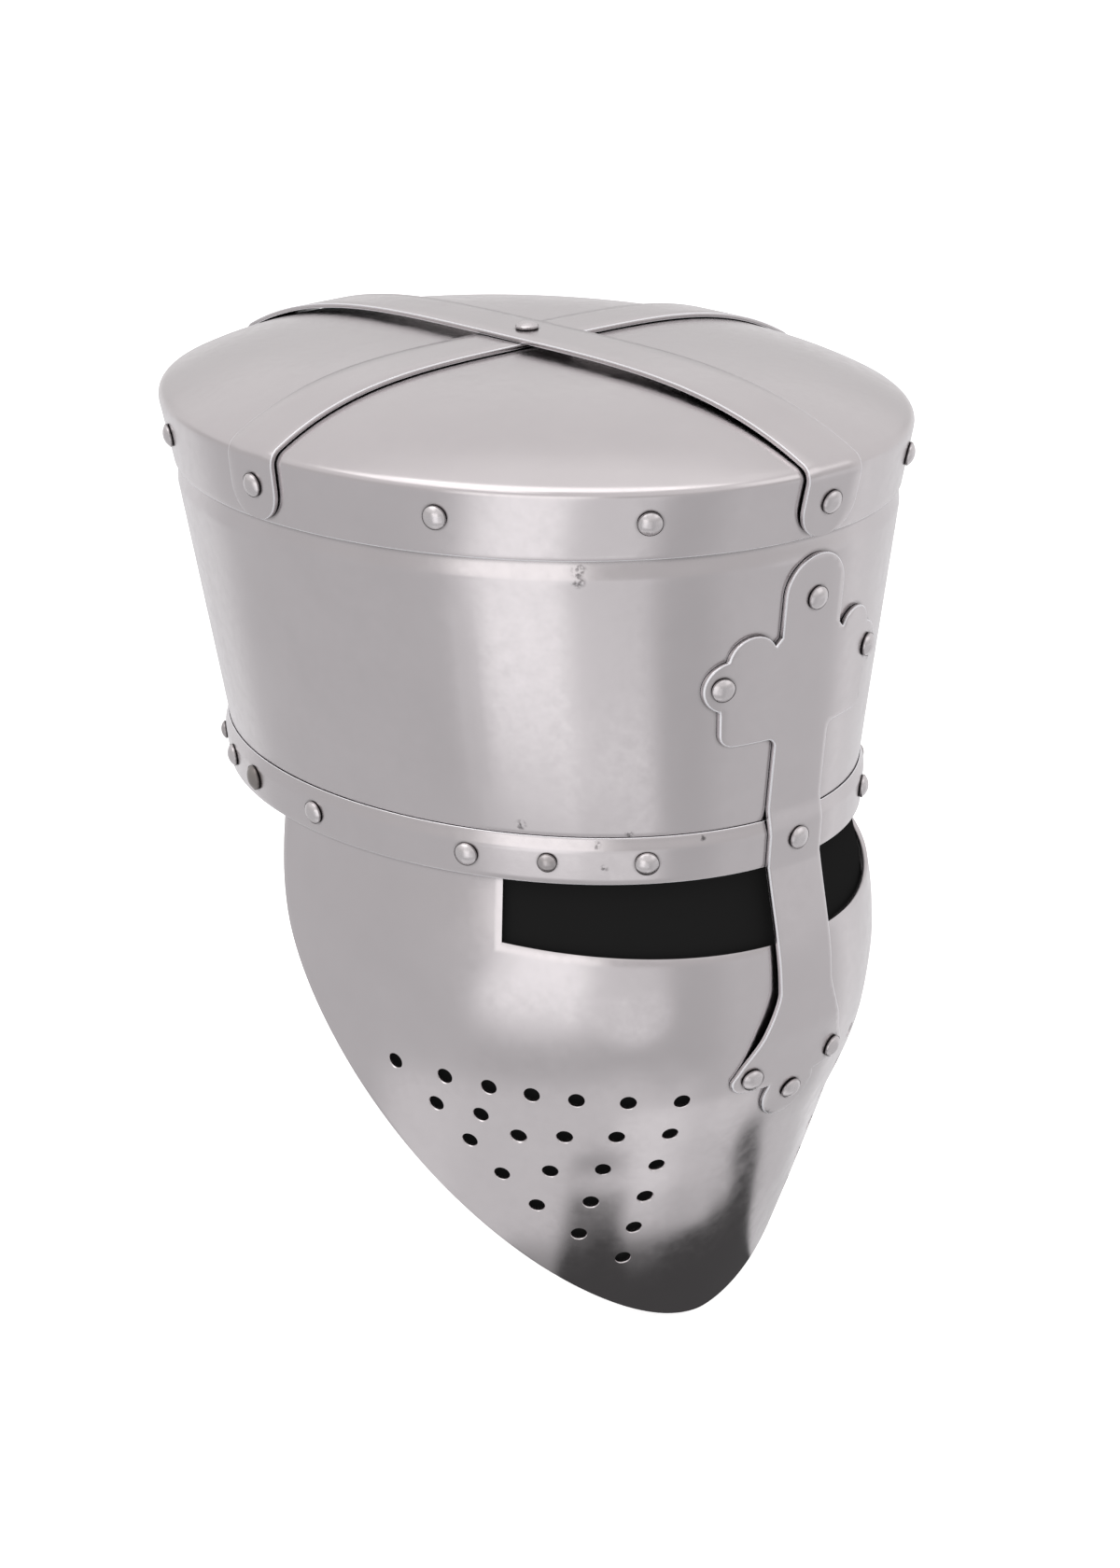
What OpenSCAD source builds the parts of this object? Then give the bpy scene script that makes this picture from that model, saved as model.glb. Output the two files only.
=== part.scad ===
// Flat-topped great helm of riveted steel plate with a dished face guard.
// +Z is up, the face looks towards -Y, and the wearer's left is +X.
// The origin is the middle of the head opening, level with the brow band's lower edge.

/* [Sheet steel] */
// Thickness of the helmet's plates
sheet_t = 1.6; // [1.4:0.1:2]
// Gap between two plates that lap
seam_gap = 0.12; // [0.08:0.02:0.2]

/* [Crown plate] */
// Width of the crown at its rim
crown_w = 219; // [214:1:226]
// Length of the crown at its rim
crown_l = 276.4; // [268:0.2:284]
// How far the rim's middle lies behind the brow's
crown_back = 1.2; // [0:0.2:2]
// Height of the rim above the brow band's lower edge
rim_z = 128.4; // [118:0.2:140]
// Rise of the crown's middle above its rim
crown_rise = 16.6; // [14:0.2:22]
// Flatness of the crown's middle: 2 is an even dome
crown_flat = 4; // [3:0.1:4.5]
// Depth of the turned-down flange
flange_h = 21.8; // [19:0.2:25]
// Width of the flange at its lower edge
flange_w = 215.2; // [211:0.2:220]
// Length of the flange at its lower edge
flange_l = 262.6; // [256:0.2:270]
// Width of the bend between crown and flange
rim_bend = 3; // [2:0.5:5]

/* [Drum] */
// Width of the drum where it meets the brow band
drum_w = 186.2; // [180:0.2:194]
// Length of the drum where it meets the brow band
drum_l = 241.4; // [234:0.2:250]
// Height of the strip that draws in under the flange
drum_neck = 7; // [5:0.5:10]
// How far the drum swells out below that strip
drum_swell = 1; // [0.5:0.1:1.5]
// How far the drum runs up inside the flange
drum_lap = 17; // [14:0.5:18]

/* [Brow band] */
// Height of the brow band
band_h = 15.5; // [14:0.5:18]
// How far the band stands out from the drum at its lower edge
band_stand = 0.55; // [0.4:0.05:0.8]
// Height of the hammered bevel along the band's top
band_bevel = 4.5; // [3:0.5:6]

/* [Face plate] */
// Depth of the face plate below the brow band
face_h = 178.8; // [170:0.2:190]
// Angle round the helmet where the plate's rear edge starts
face_wrap = 100.3; // [96:0.1:104]
// Height of the sights at the nose
sight_h = 25.6; // [22:0.2:28]
// Height of the sights at their outer ends
sight_end_h = 20.4; // [18:0.2:25]
// Angle round the helmet of the sights' outer ends
sight_end = 54.3; // [50:0.1:58]
// Diameter of a breath hole
breath_d = 5; // [4:0.1:6]
// Depth of the upper row of breaths below the brow band, at the ears
breath_z = 69; // [66:0.5:74]
// Drop of that row towards the nose
breath_drop = 6.3; // [4:0.1:8]
// Pitch down the plate of the lowest breath from column to column
breath_step = 12.4; // [12:0.1:12.8]

/* [Crown straps] */
// Width of a crown strap
strap_w = 22; // [18:1:26]
// Thickness of a crown strap
strap_t = 1.6; // [1.4:0.1:2]
// Flatness of the long strap's arch over the cross strap: 2 is an even dome
strap_flat = 3.8; // [3.2:0.1:4]

/* [Nasal cross] */
// Thickness of the cross
cross_t = 1.6; // [1.4:0.1:2]
// Width of its upper arm
cross_arm_w = 24.4; // [22:0.2:26]
// Height of its tip above the brow band's lower edge
cross_top = 101.5; // [99:0.5:104]
// Height of the middle of its side arms
cross_z = 63.5; // [60:0.5:66]
// Distance between the rivets of its side arms
cross_span = 60.6; // [56:0.2:64]
// Width of the bar at the brow
bar_w = 22.6; // [20:0.2:24]
// Depth of the foot's tip below the brow band
foot_tip = 90.5; // [88:0.5:93]
// Width of the foot across its side lobes
foot_w = 49; // [46:0.5:52]

/* [Rivets] */
// Diameter of a rivet's head
head_d = 7.6; // [7:0.1:8.4]
// Height of a rivet's head
head_h = 2.6; // [2:0.1:3]
// Diameter of a rivet's shank
shank_d = 4; // [3.4:0.1:4.4]
// Height of the flange's rivets above the flange's lower edge
flange_rivet_up = 11.9; // [11.5:0.1:12.5]
// Height of the band's rivets above the band's lower edge
band_rivet_up = 7.2; // [6.6:0.1:8]

/* [Liner] */
// Thickness of the liner leather
liner_t = 2.2; // [1.8:0.1:2.6]
// Height of the liner band
liner_h = 34; // [30:1:38]
// Height of the liner's crown above the brow band's lower edge
liner_top = 92; // [86:1:100]
// Diameter of the patch that gathers the tongues
patch_d = 46; // [40:1:52]

/* [Chin strap] */
// Width of the chin strap
chin_w = 18; // [16:0.5:19]
// Thickness of the chin strap
chin_t = 2.4; // [2:0.1:2.8]
// Length of the buckle half from its rivet
chin_buckle_l = 68; // [60:1:76]
// Length of the tongue half from its rivet
chin_tail_l = 160; // [140:1:166]
// Thickness of the buckle's wire
wire_d = 2.8; // [2.4:0.1:3]
// Length of the buckle between its two bars
buckle_l = 16; // [14:0.5:18]

/* [Hidden] */

$fn = 48;
steel = "#b9b5b1";
dark_steel = "#8d8a88";
leather = "#5a3a22";

// Facets round a full oval, and along a face plate's half oval
round_steps = 96;
plate_steps = 38;
plate_rows = 22;

flange_z = rim_z - flange_h;
shoulder_z = flange_z - drum_neck;
bevel_z = band_h - band_bevel;
// How far the bevel's foot stands out beyond the band's lower edge
band_lean = 1;
hole_d = shank_d + 0.2;
rivet_angles = [for (t = [-150 : 30 : 180]) t];
liner_angles = [-133, -46.6, 46.6, 133];
chin_angle = 108.5;
tab_r = strap_w/2;
rivet_z = flange_z + flange_rivet_up;

// The face plate's half width and half length beyond the brow's, at fifths of its depth
face_wider = [0, 6.1, 5.2, -0.7, -9.6, -20.8];
face_longer = [0, 5.8, 2.1, -13.3, -27.1, -40.8];
// Shape of the rear edge, from the chin's tip round to the band
edge_power = 1.57;
edge_root = 1.65;

// Half widths of the breath columns and how many each holds
breath_x = [93.2, 87.5, 81, 73.5, 64.5, 52.5, 38];
breath_n = [1, 2, 3, 3, 4, 5, 6];

// Depths below the brow and the bar's distance from the plate there
nose_depth = [0, 20, 44, 54, 67, 95];
nose_stand = [1.9, 1.6, 1.9, 1.8, seam_gap, seam_gap];

function lerp(a, b, t) = a + (b - a)*t;
function clamp(x, a, b) = min(b, max(a, x));
function ease(t) = let (u = min(1, max(0, t))) u*u*(3 - 2*u);

// Even curve through evenly spaced values, x from 0 to the last index
function through(v, x) =
    let (n = len(v) - 1, i = min(n - 1, max(0, floor(x))), t = x - i,
         p = v[i], q = v[i + 1],
         m = i > 0 ? (q - v[i - 1])/2 : q - p,
         k = i < n - 1 ? (v[i + 2] - p)/2 : q - p)
    (2*t^3 - 3*t^2 + 1)*p + (t^3 - 2*t^2 + t)*m + (3*t^2 - 2*t^3)*q + (t^3 - t^2)*k;

// Level functions give an oval's half width, half length and middle at a height
flange_level = function (z)
    let (t = (z - flange_z)/flange_h)
    [lerp(flange_w, crown_w, t)/2, lerp(flange_l, crown_l, t)/2, crown_back*t];
drum_level = function (z)
    let (t = (z - band_h)/(shoulder_z - band_h), in = sheet_t + seam_gap - drum_swell)
    [lerp(drum_w/2, flange_w/2 - in, t), lerp(drum_l/2, flange_l/2 - in, t), 0];
band_level = function (z)
    let (out = band_stand + band_lean*z/bevel_z)
    [drum_w/2 + out, drum_l/2 + out, 0];
plate_level = function (z)
    let (in = sheet_t + seam_gap, x = -z/face_h*5, b = band_level(max(z, 0)))
    [b[0] - in + (z < 0 ? through(face_wider, x) : 0),
     b[1] - in + (z < 0 ? through(face_longer, x) : 0), 0];
// The drum's lower rim, tucked in behind the face plate
tuck_level = function (z) grow(plate_level(z), -sheet_t - seam_gap);
nasal_level = function (z)
    let (step = band_h + 4, b = grow(band_level(clamp(z, 0, bevel_z)), seam_gap),
         d = grow(drum_level(step), seam_gap))
    z > step ? grow(drum_level(z), seam_gap) :
    z > 0 ? lerp(b, d, max(0, (z - bevel_z)/(step - bevel_z))) :
    grow(plate_level(z), nose_out(-z));
liner_level = function (z)
    let (low = grow(tuck_level(z), -sheet_t - seam_gap),
         up = grow(drum_level(z), -sheet_t - seam_gap))
    lerp(low, up, ease((z - bevel_z)/(band_h - bevel_z + 3)));

function grow(level, d) = [level[0] + d, level[1] + d, level[2]];
function nose_out(d) =
    let (i = max([for (k = [0 : len(nose_depth) - 2]) if (d >= nose_depth[k]) k]),
         t = (d - nose_depth[i])/(nose_depth[i + 1] - nose_depth[i]))
    lerp(nose_stand[i], nose_stand[i + 1], ease(t));

// A point of a level at an angle from the front, and the skin's outward direction there
function on(l, t, z) = [l[0]*sin(t), l[2] - l[1]*cos(t), z];
function spot(level, t, z, out = 0) =
    let (side = on(level(z), t + 1, z) - on(level(z), t - 1, z),
         up = on(level(z + 1), t, z + 1) - on(level(z - 1), t, z - 1),
         n = cross(side, up)/norm(cross(side, up)))
    [on(level(z), t, z) + out*n, n];

module at_spot(s)
    translate(s[0]) rotate([0, acos(s[1].z), atan2(s[1].y, s[1].x)]) children();

// Closed skin over a stack of point rings, each ring turning left seen from the stack's end
module stack(rings, loop = false) {
    n = len(rings[0]);
    m = len(rings);
    walls = [for (j = [0 : m - (loop ? 1 : 2)], i = [0 : n - 1])
        let (k = (i + 1)%n, h = (j + 1)%m)
        each [[j*n + i, h*n + i, h*n + k], [j*n + i, h*n + k, j*n + k]]];
    // An open stack's ends are closed from side to side
    e = (m - 1)*n;
    caps = loop ? [] : [for (i = [0 : n/2 - 2]) let (k = n - 1 - i)
        each [[i, i + 1, k - 1], [i, k - 1, k], [e + k - 1, e + i + 1, e + i], [e + k, e + k - 1, e + i]]];
    polyhedron([for (r = rings) each r], concat(walls, caps));
}

function oval(l, z, n = round_steps) = [for (i = [0 : n - 1]) on(l, 360*i/n, z)];
// A strip of plate at one height, from -edge to edge round the front
function strip(l, t, edge, z, n) = concat(
    [for (i = [0 : n]) on(l, lerp(-edge, edge, i/n), z)],
    [for (i = [n : -1 : 0]) on(grow(l, -t), lerp(-edge, edge, i/n), z)]);

module holes(spots, d = hole_d)
    for (s = spots) at_spot(s) rotate(17) cylinder(d = d, h = 18, center = true);

// A rivet with its head on the skin at the origin and its tail clenched under the grip
module rivet(grip, d = head_d, h = head_h) {
    rim = 0.3*h;
    dome = h - rim;
    ball = (d*d/4 + dome*dome)/(2*dome);
    cylinder(d = d, h = rim);
    intersection() {
        translate([0, 0, h - ball]) sphere(r = ball);
        translate([0, 0, rim]) cylinder(d = d, h = dome);
    }
    translate([0, 0, -grip - 0.6]) cylinder(d = shank_d, h = grip + 1);
    translate([0, 0, -grip - 1.5]) cylinder(d = 1.5*shank_d, h = 1.2);
}
module rivets(spots, grip, d = head_d, h = head_h)
    for (s = spots) at_spot(s) rivet(grip, d, h);

flange_spots = [for (t = rivet_angles) if (t % 90 != 0) spot(flange_level, t, rivet_z)];
tab_spots = [for (t = [0 : 90 : 270]) spot(flange_level, t, rivet_z, strap_t + seam_gap)];
brow_spots = [for (t = rivet_angles) if (t != 0) spot(band_level, t, band_rivet_up)];
liner_spots = [for (t = liner_angles) spot(band_level, t, band_rivet_up)];
chin_spots = [for (s = [-1, 1]) spot(band_level, s*chin_angle, band_rivet_up)];
brow_holes = concat(brow_spots, liner_spots, chin_spots, [spot(band_level, 0, band_rivet_up + 0.9)]);

// The crown: a shallow dome that bends over into a flange
function crown_z(r) = rim_z + crown_rise*(1 - r^crown_flat);
function bend(p, q, r, t) = (1 - t)^2*p + 2*t*(1 - t)*q + t^2*r;
function crown_ring(l, r, z) = oval([l[0]*r, l[1]*r, l[2]], z);

module crown_plate() {
    rim = flange_level(rim_z);
    bent = grow(rim, -rim_bend);
    start = 1 - rim_bend/rim[0];
    outer = concat(
        [for (z = [flange_z, rim_z - rim_bend]) oval(flange_level(z), z)],
        [for (t = [0.25, 0.5, 0.75]) let (
            l = bend(flange_level(rim_z - rim_bend), rim, [rim[0]*start, rim[1]*start, rim[2]], t),
            z = bend(rim_z - rim_bend, rim_z, crown_z(start), t)) oval(l, z)],
        [for (r = [start, 0.93, 0.86, 0.77, 0.66, 0.52, 0.34, 0.04]) crown_ring(rim, r, crown_z(r))]);
    inner = concat(
        [for (r = [0.04, 0.5, 0.8, 0.93]) crown_ring(bent, r, crown_z(r) - sheet_t)],
        [crown_ring(bent, 1, crown_z(1) - sheet_t)],
        [for (z = [rim_z - rim_bend - 1, flange_z]) oval(grow(flange_level(z), -sheet_t), z)]);
    color(steel) difference() {
        stack(concat(inner, outer));
        holes(concat(flange_spots, tab_spots));
        cylinder(d = hole_d, h = 2*rim_z);
    }
}

// The drum: a tapered oval hoop that steps in under the crown and behind the face plate
module skull_drum() {
    lap_z = flange_z + drum_lap;
    lap = function (z) grow(flange_level(z), -sheet_t - seam_gap);
    // The rim tucks in where the face plate lies over it
    tuck = function (t) ease((face_wrap + 8 - abs(t))/5);
    low = function (z, d) [for (i = [0 : round_steps - 1])
        let (t = 360*i/round_steps, u = t > 180 ? t - 360 : t,
             rear = grow(plate_level(z), 0), l = lerp(rear, tuck_level(z), tuck(u)))
        on(grow(l, d), t, z)];
    function rings(d) = [low(1, d), low(bevel_z, d), oval(grow(drum_level(band_h), d), band_h),
        oval(grow(drum_level(shoulder_z), d), shoulder_z), oval(grow(lap(flange_z), d), flange_z),
        oval(grow(lap(lap_z), d), lap_z)];
    inside = rings(-sheet_t);
    color(steel) difference() {
        stack(concat(rings(0), [for (i = [len(inside) - 1 : -1 : 0]) inside[i]]), loop = true);
        holes(concat(flange_spots, tab_spots, brow_holes, cross_spots));
    }
}

// The brow band: a hoop over the drum's lower edge, its top hammered down to a bevel
module brow_band() {
    lip = 0.35;
    drum = drum_level(band_h);
    outer = [oval(band_level(0), 0), oval(band_level(bevel_z), bevel_z),
             oval(grow(drum, seam_gap + lip), band_h - 0.1)];
    inner = [oval(grow(drum, seam_gap), band_h - 0.1),
             oval(grow(band_level(bevel_z), -sheet_t), bevel_z), oval(grow(band_level(0), -sheet_t), 0)];
    color(steel) difference() {
        stack(concat(outer, inner), loop = true);
        holes(brow_holes);
    }
}

// The face plate: half ovals that swell at the cheeks and draw in to the chin
function edge_angle(z) =
    face_wrap*(1 - (min(1, -min(z, 0)/face_h))^edge_power)^(1/edge_root);

function breath_spots() = [for (i = [0 : len(breath_x) - 1], k = [0 : breath_n[i] - 1], s = [-1, 1])
    let (n = breath_n[i], top = -breath_z - breath_drop*i/(len(breath_x) - 1),
         low = min(top, -breath_z - breath_step*i),
         z = lerp(top, low, n > 1 ? k/(n - 1) : 0),
         t = asin(breath_x[i]/max(plate_level(z)[0], breath_x[i] + 0.1)))
    spot(plate_level, s*t, z)];

// The sights are one opening under the brow band, shallower at its outer ends
function sight_z(t) = -lerp(sight_h, sight_end_h, (t/sight_end)^2);
module sight_cutter() {
    n = 28;
    stack([for (i = [0 : n]) let (t = lerp(-sight_end, sight_end, i/n), z = sight_z(t),
            out = grow(plate_level(z), 12), in = grow(plate_level(z), -16))
        [on(out, t, z), on(in, t, z), on(in, t, 0.2), on(out, t, 0.2)]]);
}

module face_plate() {
    rows = [for (i = [0 : plate_rows]) -face_h*(1 - (0.015 + 0.985*i/plate_rows)^1.7)];
    heights = concat([for (z = rows) if (z < -0.1) z], [0, bevel_z]);
    color(steel) difference() {
        stack([for (z = heights) strip(plate_level(z), sheet_t, edge_angle(z), z, plate_steps)]);
        sight_cutter();
        holes(breath_spots(), breath_d);
        holes(concat(foot_spots, [for (h = brow_holes) if (h[0].y < 20) h]));
    }
}

// A crown strap's lower line, from tab to tab across the helmet, in its own plane
function arch_line(half, low_half, mid, lift, flat) =
    let (n = 24, over = [for (i = [-n : n]) let (r = i/n)
            [mid + half*r, rim_z + (crown_rise + lift)*(1 - abs(r)^flat) + seam_gap]],
         tab = function (s) [for (t = [0.02, 1 - 1/flange_h])
            [t*mid + s*(lerp(low_half, half, t) + seam_gap), flange_z + t*flange_h]])
    concat(tab(-1), over, reversed(tab(1)));
// The same line moved outwards by the strap's thickness
function offset_line(p, t) = [for (i = [0 : len(p) - 1])
    let (a = p[max(i, 1)] - p[max(i, 1) - 1], b = p[min(i, len(p) - 2) + 1] - p[min(i, len(p) - 2)],
         m = a/norm(a), k = b/norm(b))
    p[i] + t*[-m.y - k.y, m.x + k.x]/(1 + m*k)];
function reversed(p) = [for (i = [len(p) - 1 : -1 : 0]) p[i]];

module crown_strap(half, low_half, mid, lift, flat) {
    line = arch_line(half, low_half, mid, lift, flat);
    difference() {
        intersection() {
            rotate([90, 0, 90]) linear_extrude(strap_w, center = true)
                polygon(concat(line, reversed(offset_line(line, strap_t))));
            // Round tab ends, about the rivets
            union() {
                translate([-tab_r, -200, rivet_z]) cube([strap_w, 400, 80]);
                translate([0, 0, rivet_z]) rotate([90, 0, 0])
                    cylinder(r = tab_r, h = 400, center = true, $fn = 96);
            }
        }
        cylinder(d = hole_d, h = 2*rim_z);
    }
}
// The long strap runs from brow to nape, over the cross strap
module crown_strap_long() color(steel) difference() {
    crown_strap(crown_l/2, flange_l/2, crown_back, strap_t + 2*seam_gap, strap_flat);
    holes([tab_spots[0], tab_spots[2]]);
}
module crown_strap_cross() color(steel) difference() {
    translate([0, crown_back, 0]) rotate(90) crown_strap(crown_w/2, flange_w/2, 0, seam_gap, crown_flat);
    holes([tab_spots[1], tab_spots[3]]);
    cylinder(d = hole_d, h = 2*rim_z);
}

// Where two circles cross, to the left of the way from the first's middle to the second's
function meet(c, r, d, q) =
    let (u = (d - c)/norm(d - c), a = (norm(d - c)^2 + r*r - q*q)/(2*norm(d - c)))
    c + a*u + sqrt(r*r - a*a)*[-u.y, u.x];
function aim(c, p) = atan2(p.y - c.y, p.x - c.x);
// Points of an arc from one direction to another
function arc(c, r, from, to, n = 9) =
    [for (i = [0 : n]) let (t = lerp(from, to, i/n)) c + r*[cos(t), sin(t)]];

// Outline of the nasal cross seen from the front, the right half from its tip to its foot
cross_half = cross_span/2;
module cross_outline() {
    arm_r = cross_arm_w/2;
    tip = [0, cross_top - arm_r];
    // Each side arm ends in two lobes over a square heel
    end_r = 8.4;
    end = [cross_half - 2.3, cross_z];
    top_r = 8;
    top = [cross_half - 8.7, cross_z + 7.4];
    notch = meet(top, top_r, end, end_r);
    heel_r = 4.5;
    heel = [cross_half - heel_r, cross_z - 20 + heel_r];
    fillet_r = 3;
    bar = bar_w/2;
    flare_z = 29;
    side = 5.2;
    lobe = [foot_w/2 - side, 20 - foot_tip];
    toe_r = 10.6;
    toe = [0, toe_r - foot_tip];
    flare = [for (i = [0 : 8]) let (t = i/8)
        [lerp(bar, foot_w/2, t^1.25), lobe.y + flare_z*(1 - t)]];
    half = concat(
        arc(tip, arm_r, 90, 0),
        [[arm_r, cross_z + 13]],
        arc(top, top_r, 155, aim(top, notch)),
        arc(end, end_r, aim(end, notch), -70),
        arc(heel, heel_r, 0, -90, 5),
        arc([bar + fillet_r, heel.y - heel_r - fillet_r], fillet_r, 90, 180, 4),
        flare,
        arc(lobe, side, 0, -90, 6),
        arc(toe, toe_r, asin((lobe.y - side - toe.y)/toe_r), -90));
    polygon(concat(half, [for (i = [len(half) - 2 : -1 : 1]) [-half[i].x, half[i].y]]));
}
cross_spots = [
    for (s = [-1, 1]) let (z = cross_z, l = nasal_level(z))
        spot(nasal_level, s*asin(cross_half/l[0]), z, cross_t),
    spot(nasal_level, 0, cross_top - 14, cross_t)];
bar_spot = spot(band_level, 0, band_rivet_up + 0.9, cross_t + seam_gap);
foot_z = 20.5 - foot_tip;
foot_spots = [
    for (s = [-1, 1]) spot(nasal_level, s*asin((foot_w/2 - 7)/nasal_level(foot_z)[0]), foot_z, cross_t),
    spot(nasal_level, 0, foot_z - 9, cross_t)];

module nasal_cross() {
    heights = concat([for (h = [-1, 6.5, 12.5, 19.5]) h - foot_tip], [for (z = [-65 : 5 : -5]) z],
                     [0, 5, 10, 15, 19.5, 60, cross_top + 1]);
    color(steel) difference() {
        intersection() {
            stack([for (z = heights) strip(grow(nasal_level(z), cross_t), cross_t, 27, z, 14)]);
            translate([0, -60, 0]) rotate([90, 0, 0]) linear_extrude(120) cross_outline();
        }
        holes(concat(cross_spots, foot_spots, [bar_spot]));
    }
}

// Rivet groups, each with the plates that it holds as its grip
plate_lap = sheet_t + seam_gap;
brow_grip = 3*plate_lap + liner_t;
module flange_rivets() color(steel) rivets(flange_spots, 2*plate_lap);
module strap_end_rivets() color(steel) rivets(tab_spots, 3*plate_lap);
module crown_rivet() color(steel)
    translate([0, 0, rim_z + crown_rise + 2*strap_t + 3*seam_gap])
        rivet(sheet_t + 2*strap_t + 3*seam_gap);
module brow_rivets() color(steel) rivets(brow_spots, brow_grip);
module cross_rivets() color(steel) {
    rivets(cross_spots, 2*plate_lap);
    rivets([bar_spot], plate_lap + brow_grip);
}
module foot_rivets() color(steel) rivets(foot_spots, 2*plate_lap);
module liner_rivets() color(dark_steel) rivets(liner_spots, brow_grip, head_d - 1.4, 2.3);

// The liner: a leather band inside the brow with eight tongues drawn up to a patch
tongues = 8;
tongue_t = 1.6;
// Height at which the tongues start, above the chin strap
tongue_z = 20;
module tongue(t) {
    rows = 5;
    across = 5;
    base = grow(liner_level(tongue_z), -liner_t - 0.05);
    over = patch_d/2/base[0];
    stack([for (i = [-1 : rows + 1])
        let (u = min(90, max(0, 90*i/rows)), w = 180/tongues*lerp(0.86, 0.4, max(0, i)/rows),
             r = i > rows ? over - 8/base[0] : lerp(over, 1, cos(u)),
             l = [base[0]*r, base[1]*r, 0], z = i < 0 ? tongue_z : lerp(liner_h, liner_top, sin(u)))
        concat(
            [for (k = [0 : across]) on(l, t + lerp(-w, w, k/across), z + tongue_t*sin(u))],
            [for (k = [across : -1 : 0])
                on(grow(l, -tongue_t*cos(u)), t + lerp(-w, w, k/across), z)])]);
}
module liner_tongues() color(leather)
    for (i = [0 : tongues - 1]) tongue(360*(i + 0.5)/tongues);
module liner_band() {
    heights = [2, bevel_z, band_h + 3, liner_h];
    outer = [for (z = heights) oval(liner_level(z), z, round_steps/2)];
    inner = [for (z = heights) oval(grow(liner_level(z), -liner_t), z, round_steps/2)];
    color(leather) difference() {
        stack(concat(outer, reversed(inner)), loop = true);
        holes(brow_holes);
    }
}
module liner_patch() color(leather)
    translate([0, 0, liner_top - 0.05]) mirror([0, 0, 1]) cylinder(d = patch_d, h = liner_t);

// The chin strap's two halves turn on their rivets and lie forward inside the brow
chin_gap = 0.5;
// The strap leans as the band does, square to its rivet
chin_lean = chin_spots[1][1].z;
chin_z = band_rivet_up - chin_lean*(brow_grip + chin_gap + chin_t/2);
chin_in = grow(liner_level(chin_z), -liner_t - chin_gap);
// The strap leaves the liner by a buckle's thickness beyond its rivet
function chin_inset(s) = 3.6*ease(s/34);
function chin_at(s, t) = on(grow(chin_in, -chin_inset(s)), t, chin_z);
// Angle reached after walking a length forward from the rivet
function walk(t, s, gone = 0) =
    let (d = norm(on(chin_in, t, 0) - on(chin_in, t - 1, 0)))
    gone + d >= s ? t - (s - gone)/d : walk(t - 1, s, gone + d);
function chin_dir(t) =
    let (d = on(chin_in, t + 1, 0) - on(chin_in, t - 1, 0), n = cross(d, [0, 0, 1])/norm(d))
    n*sqrt(1 - chin_lean^2) + [0, 0, chin_lean];
function chin_up(n) = ([0, 0, 1] - n.z*n)/norm([0, 0, 1] - n.z*n);

// A spot on the chin strap's middle line, a length forward of its rivet
function chin_spot(side, s) =
    let (t = side*walk(chin_angle, s), n = chin_dir(t))
    [chin_at(s, t) - n*chin_t/2, n];
module chin_run(side, length, fold = 0) {
    n = ceil(length/7);
    stack([for (i = [0 : n])
        let (q = length*(side > 0 ? n - i : i)/n, p = chin_spot(side, q), o = p[1]*chin_t/2,
             e = q > length - fold ? fold_shift*p[1] : [0, 0, 0], h = chin_up(p[1])*chin_w/2)
        [p[0] + o - h, p[0] - o - e - h, p[0] - o - e + h, p[0] + o + h]]);
}
module chin_end(side, s)
    at_spot(chin_spot(side, s)) cylinder(d = chin_w - 0.4, h = chin_t - 0.1, center = true, $fn = 64);
module chin_rivet_hole(side)
    at_spot(chin_spots[side > 0 ? 1 : 0]) rotate(17)
        cylinder(d = shank_d + 0.16, h = 30, center = true);

// Buckle frame: two bars and two side wires, the strap folded round the inner bar
fold_shift = 0.9*chin_t;
buckle_spot = let (p = chin_spot(-1, chin_buckle_l + wire_d/2 + 0.4))
    [p[0] - p[1]*fold_shift/2, p[1]];
buckle_half = chin_w/2 + 1 + wire_d/2;
fold_d = wire_d + 0.3 + 2*1.8;
// The buckle leans in a little from the strap, clear of the liner
buckle_lean = 6;
module buckle_frame() color("#a9a29a") at_spot(buckle_spot) rotate([-buckle_lean, 0, 0]) {
    for (y = [0, buckle_l]) translate([0, y, 0]) rotate([0, 90, 0])
        cylinder(d = wire_d, h = 2*buckle_half, center = true);
    for (x = [-1, 1]) translate([x*buckle_half, 0, 0]) rotate([-90, 0, 0])
        cylinder(d = wire_d, h = buckle_l);
    for (x = [-1, 1], y = [0, buckle_l]) translate([x*buckle_half, y, 0]) sphere(d = wire_d);
}
prong_w = 3.4;
prong_d = 2.2;
module buckle_prong() color("#a9a29a") at_spot(buckle_spot) rotate([-buckle_lean, 0, 0]) {
    eye = wire_d + 0.16;
    tilt = asin((wire_d/2 + prong_d/2 + 0.1)/buckle_l);
    difference() {
        union() {
            rotate([0, 90, 0]) cylinder(d = eye + 2.4, h = prong_w, center = true);
            rotate([tilt, 0, 180]) rotate([90, 0, 0]) translate([0, 0, eye/2 + 0.3])
                cylinder(d = prong_d, h = buckle_l - eye/2 + 1.6);
        }
        rotate([0, 90, 0]) cylinder(d = eye, h = 3*prong_w, center = true);
    }
}
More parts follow.
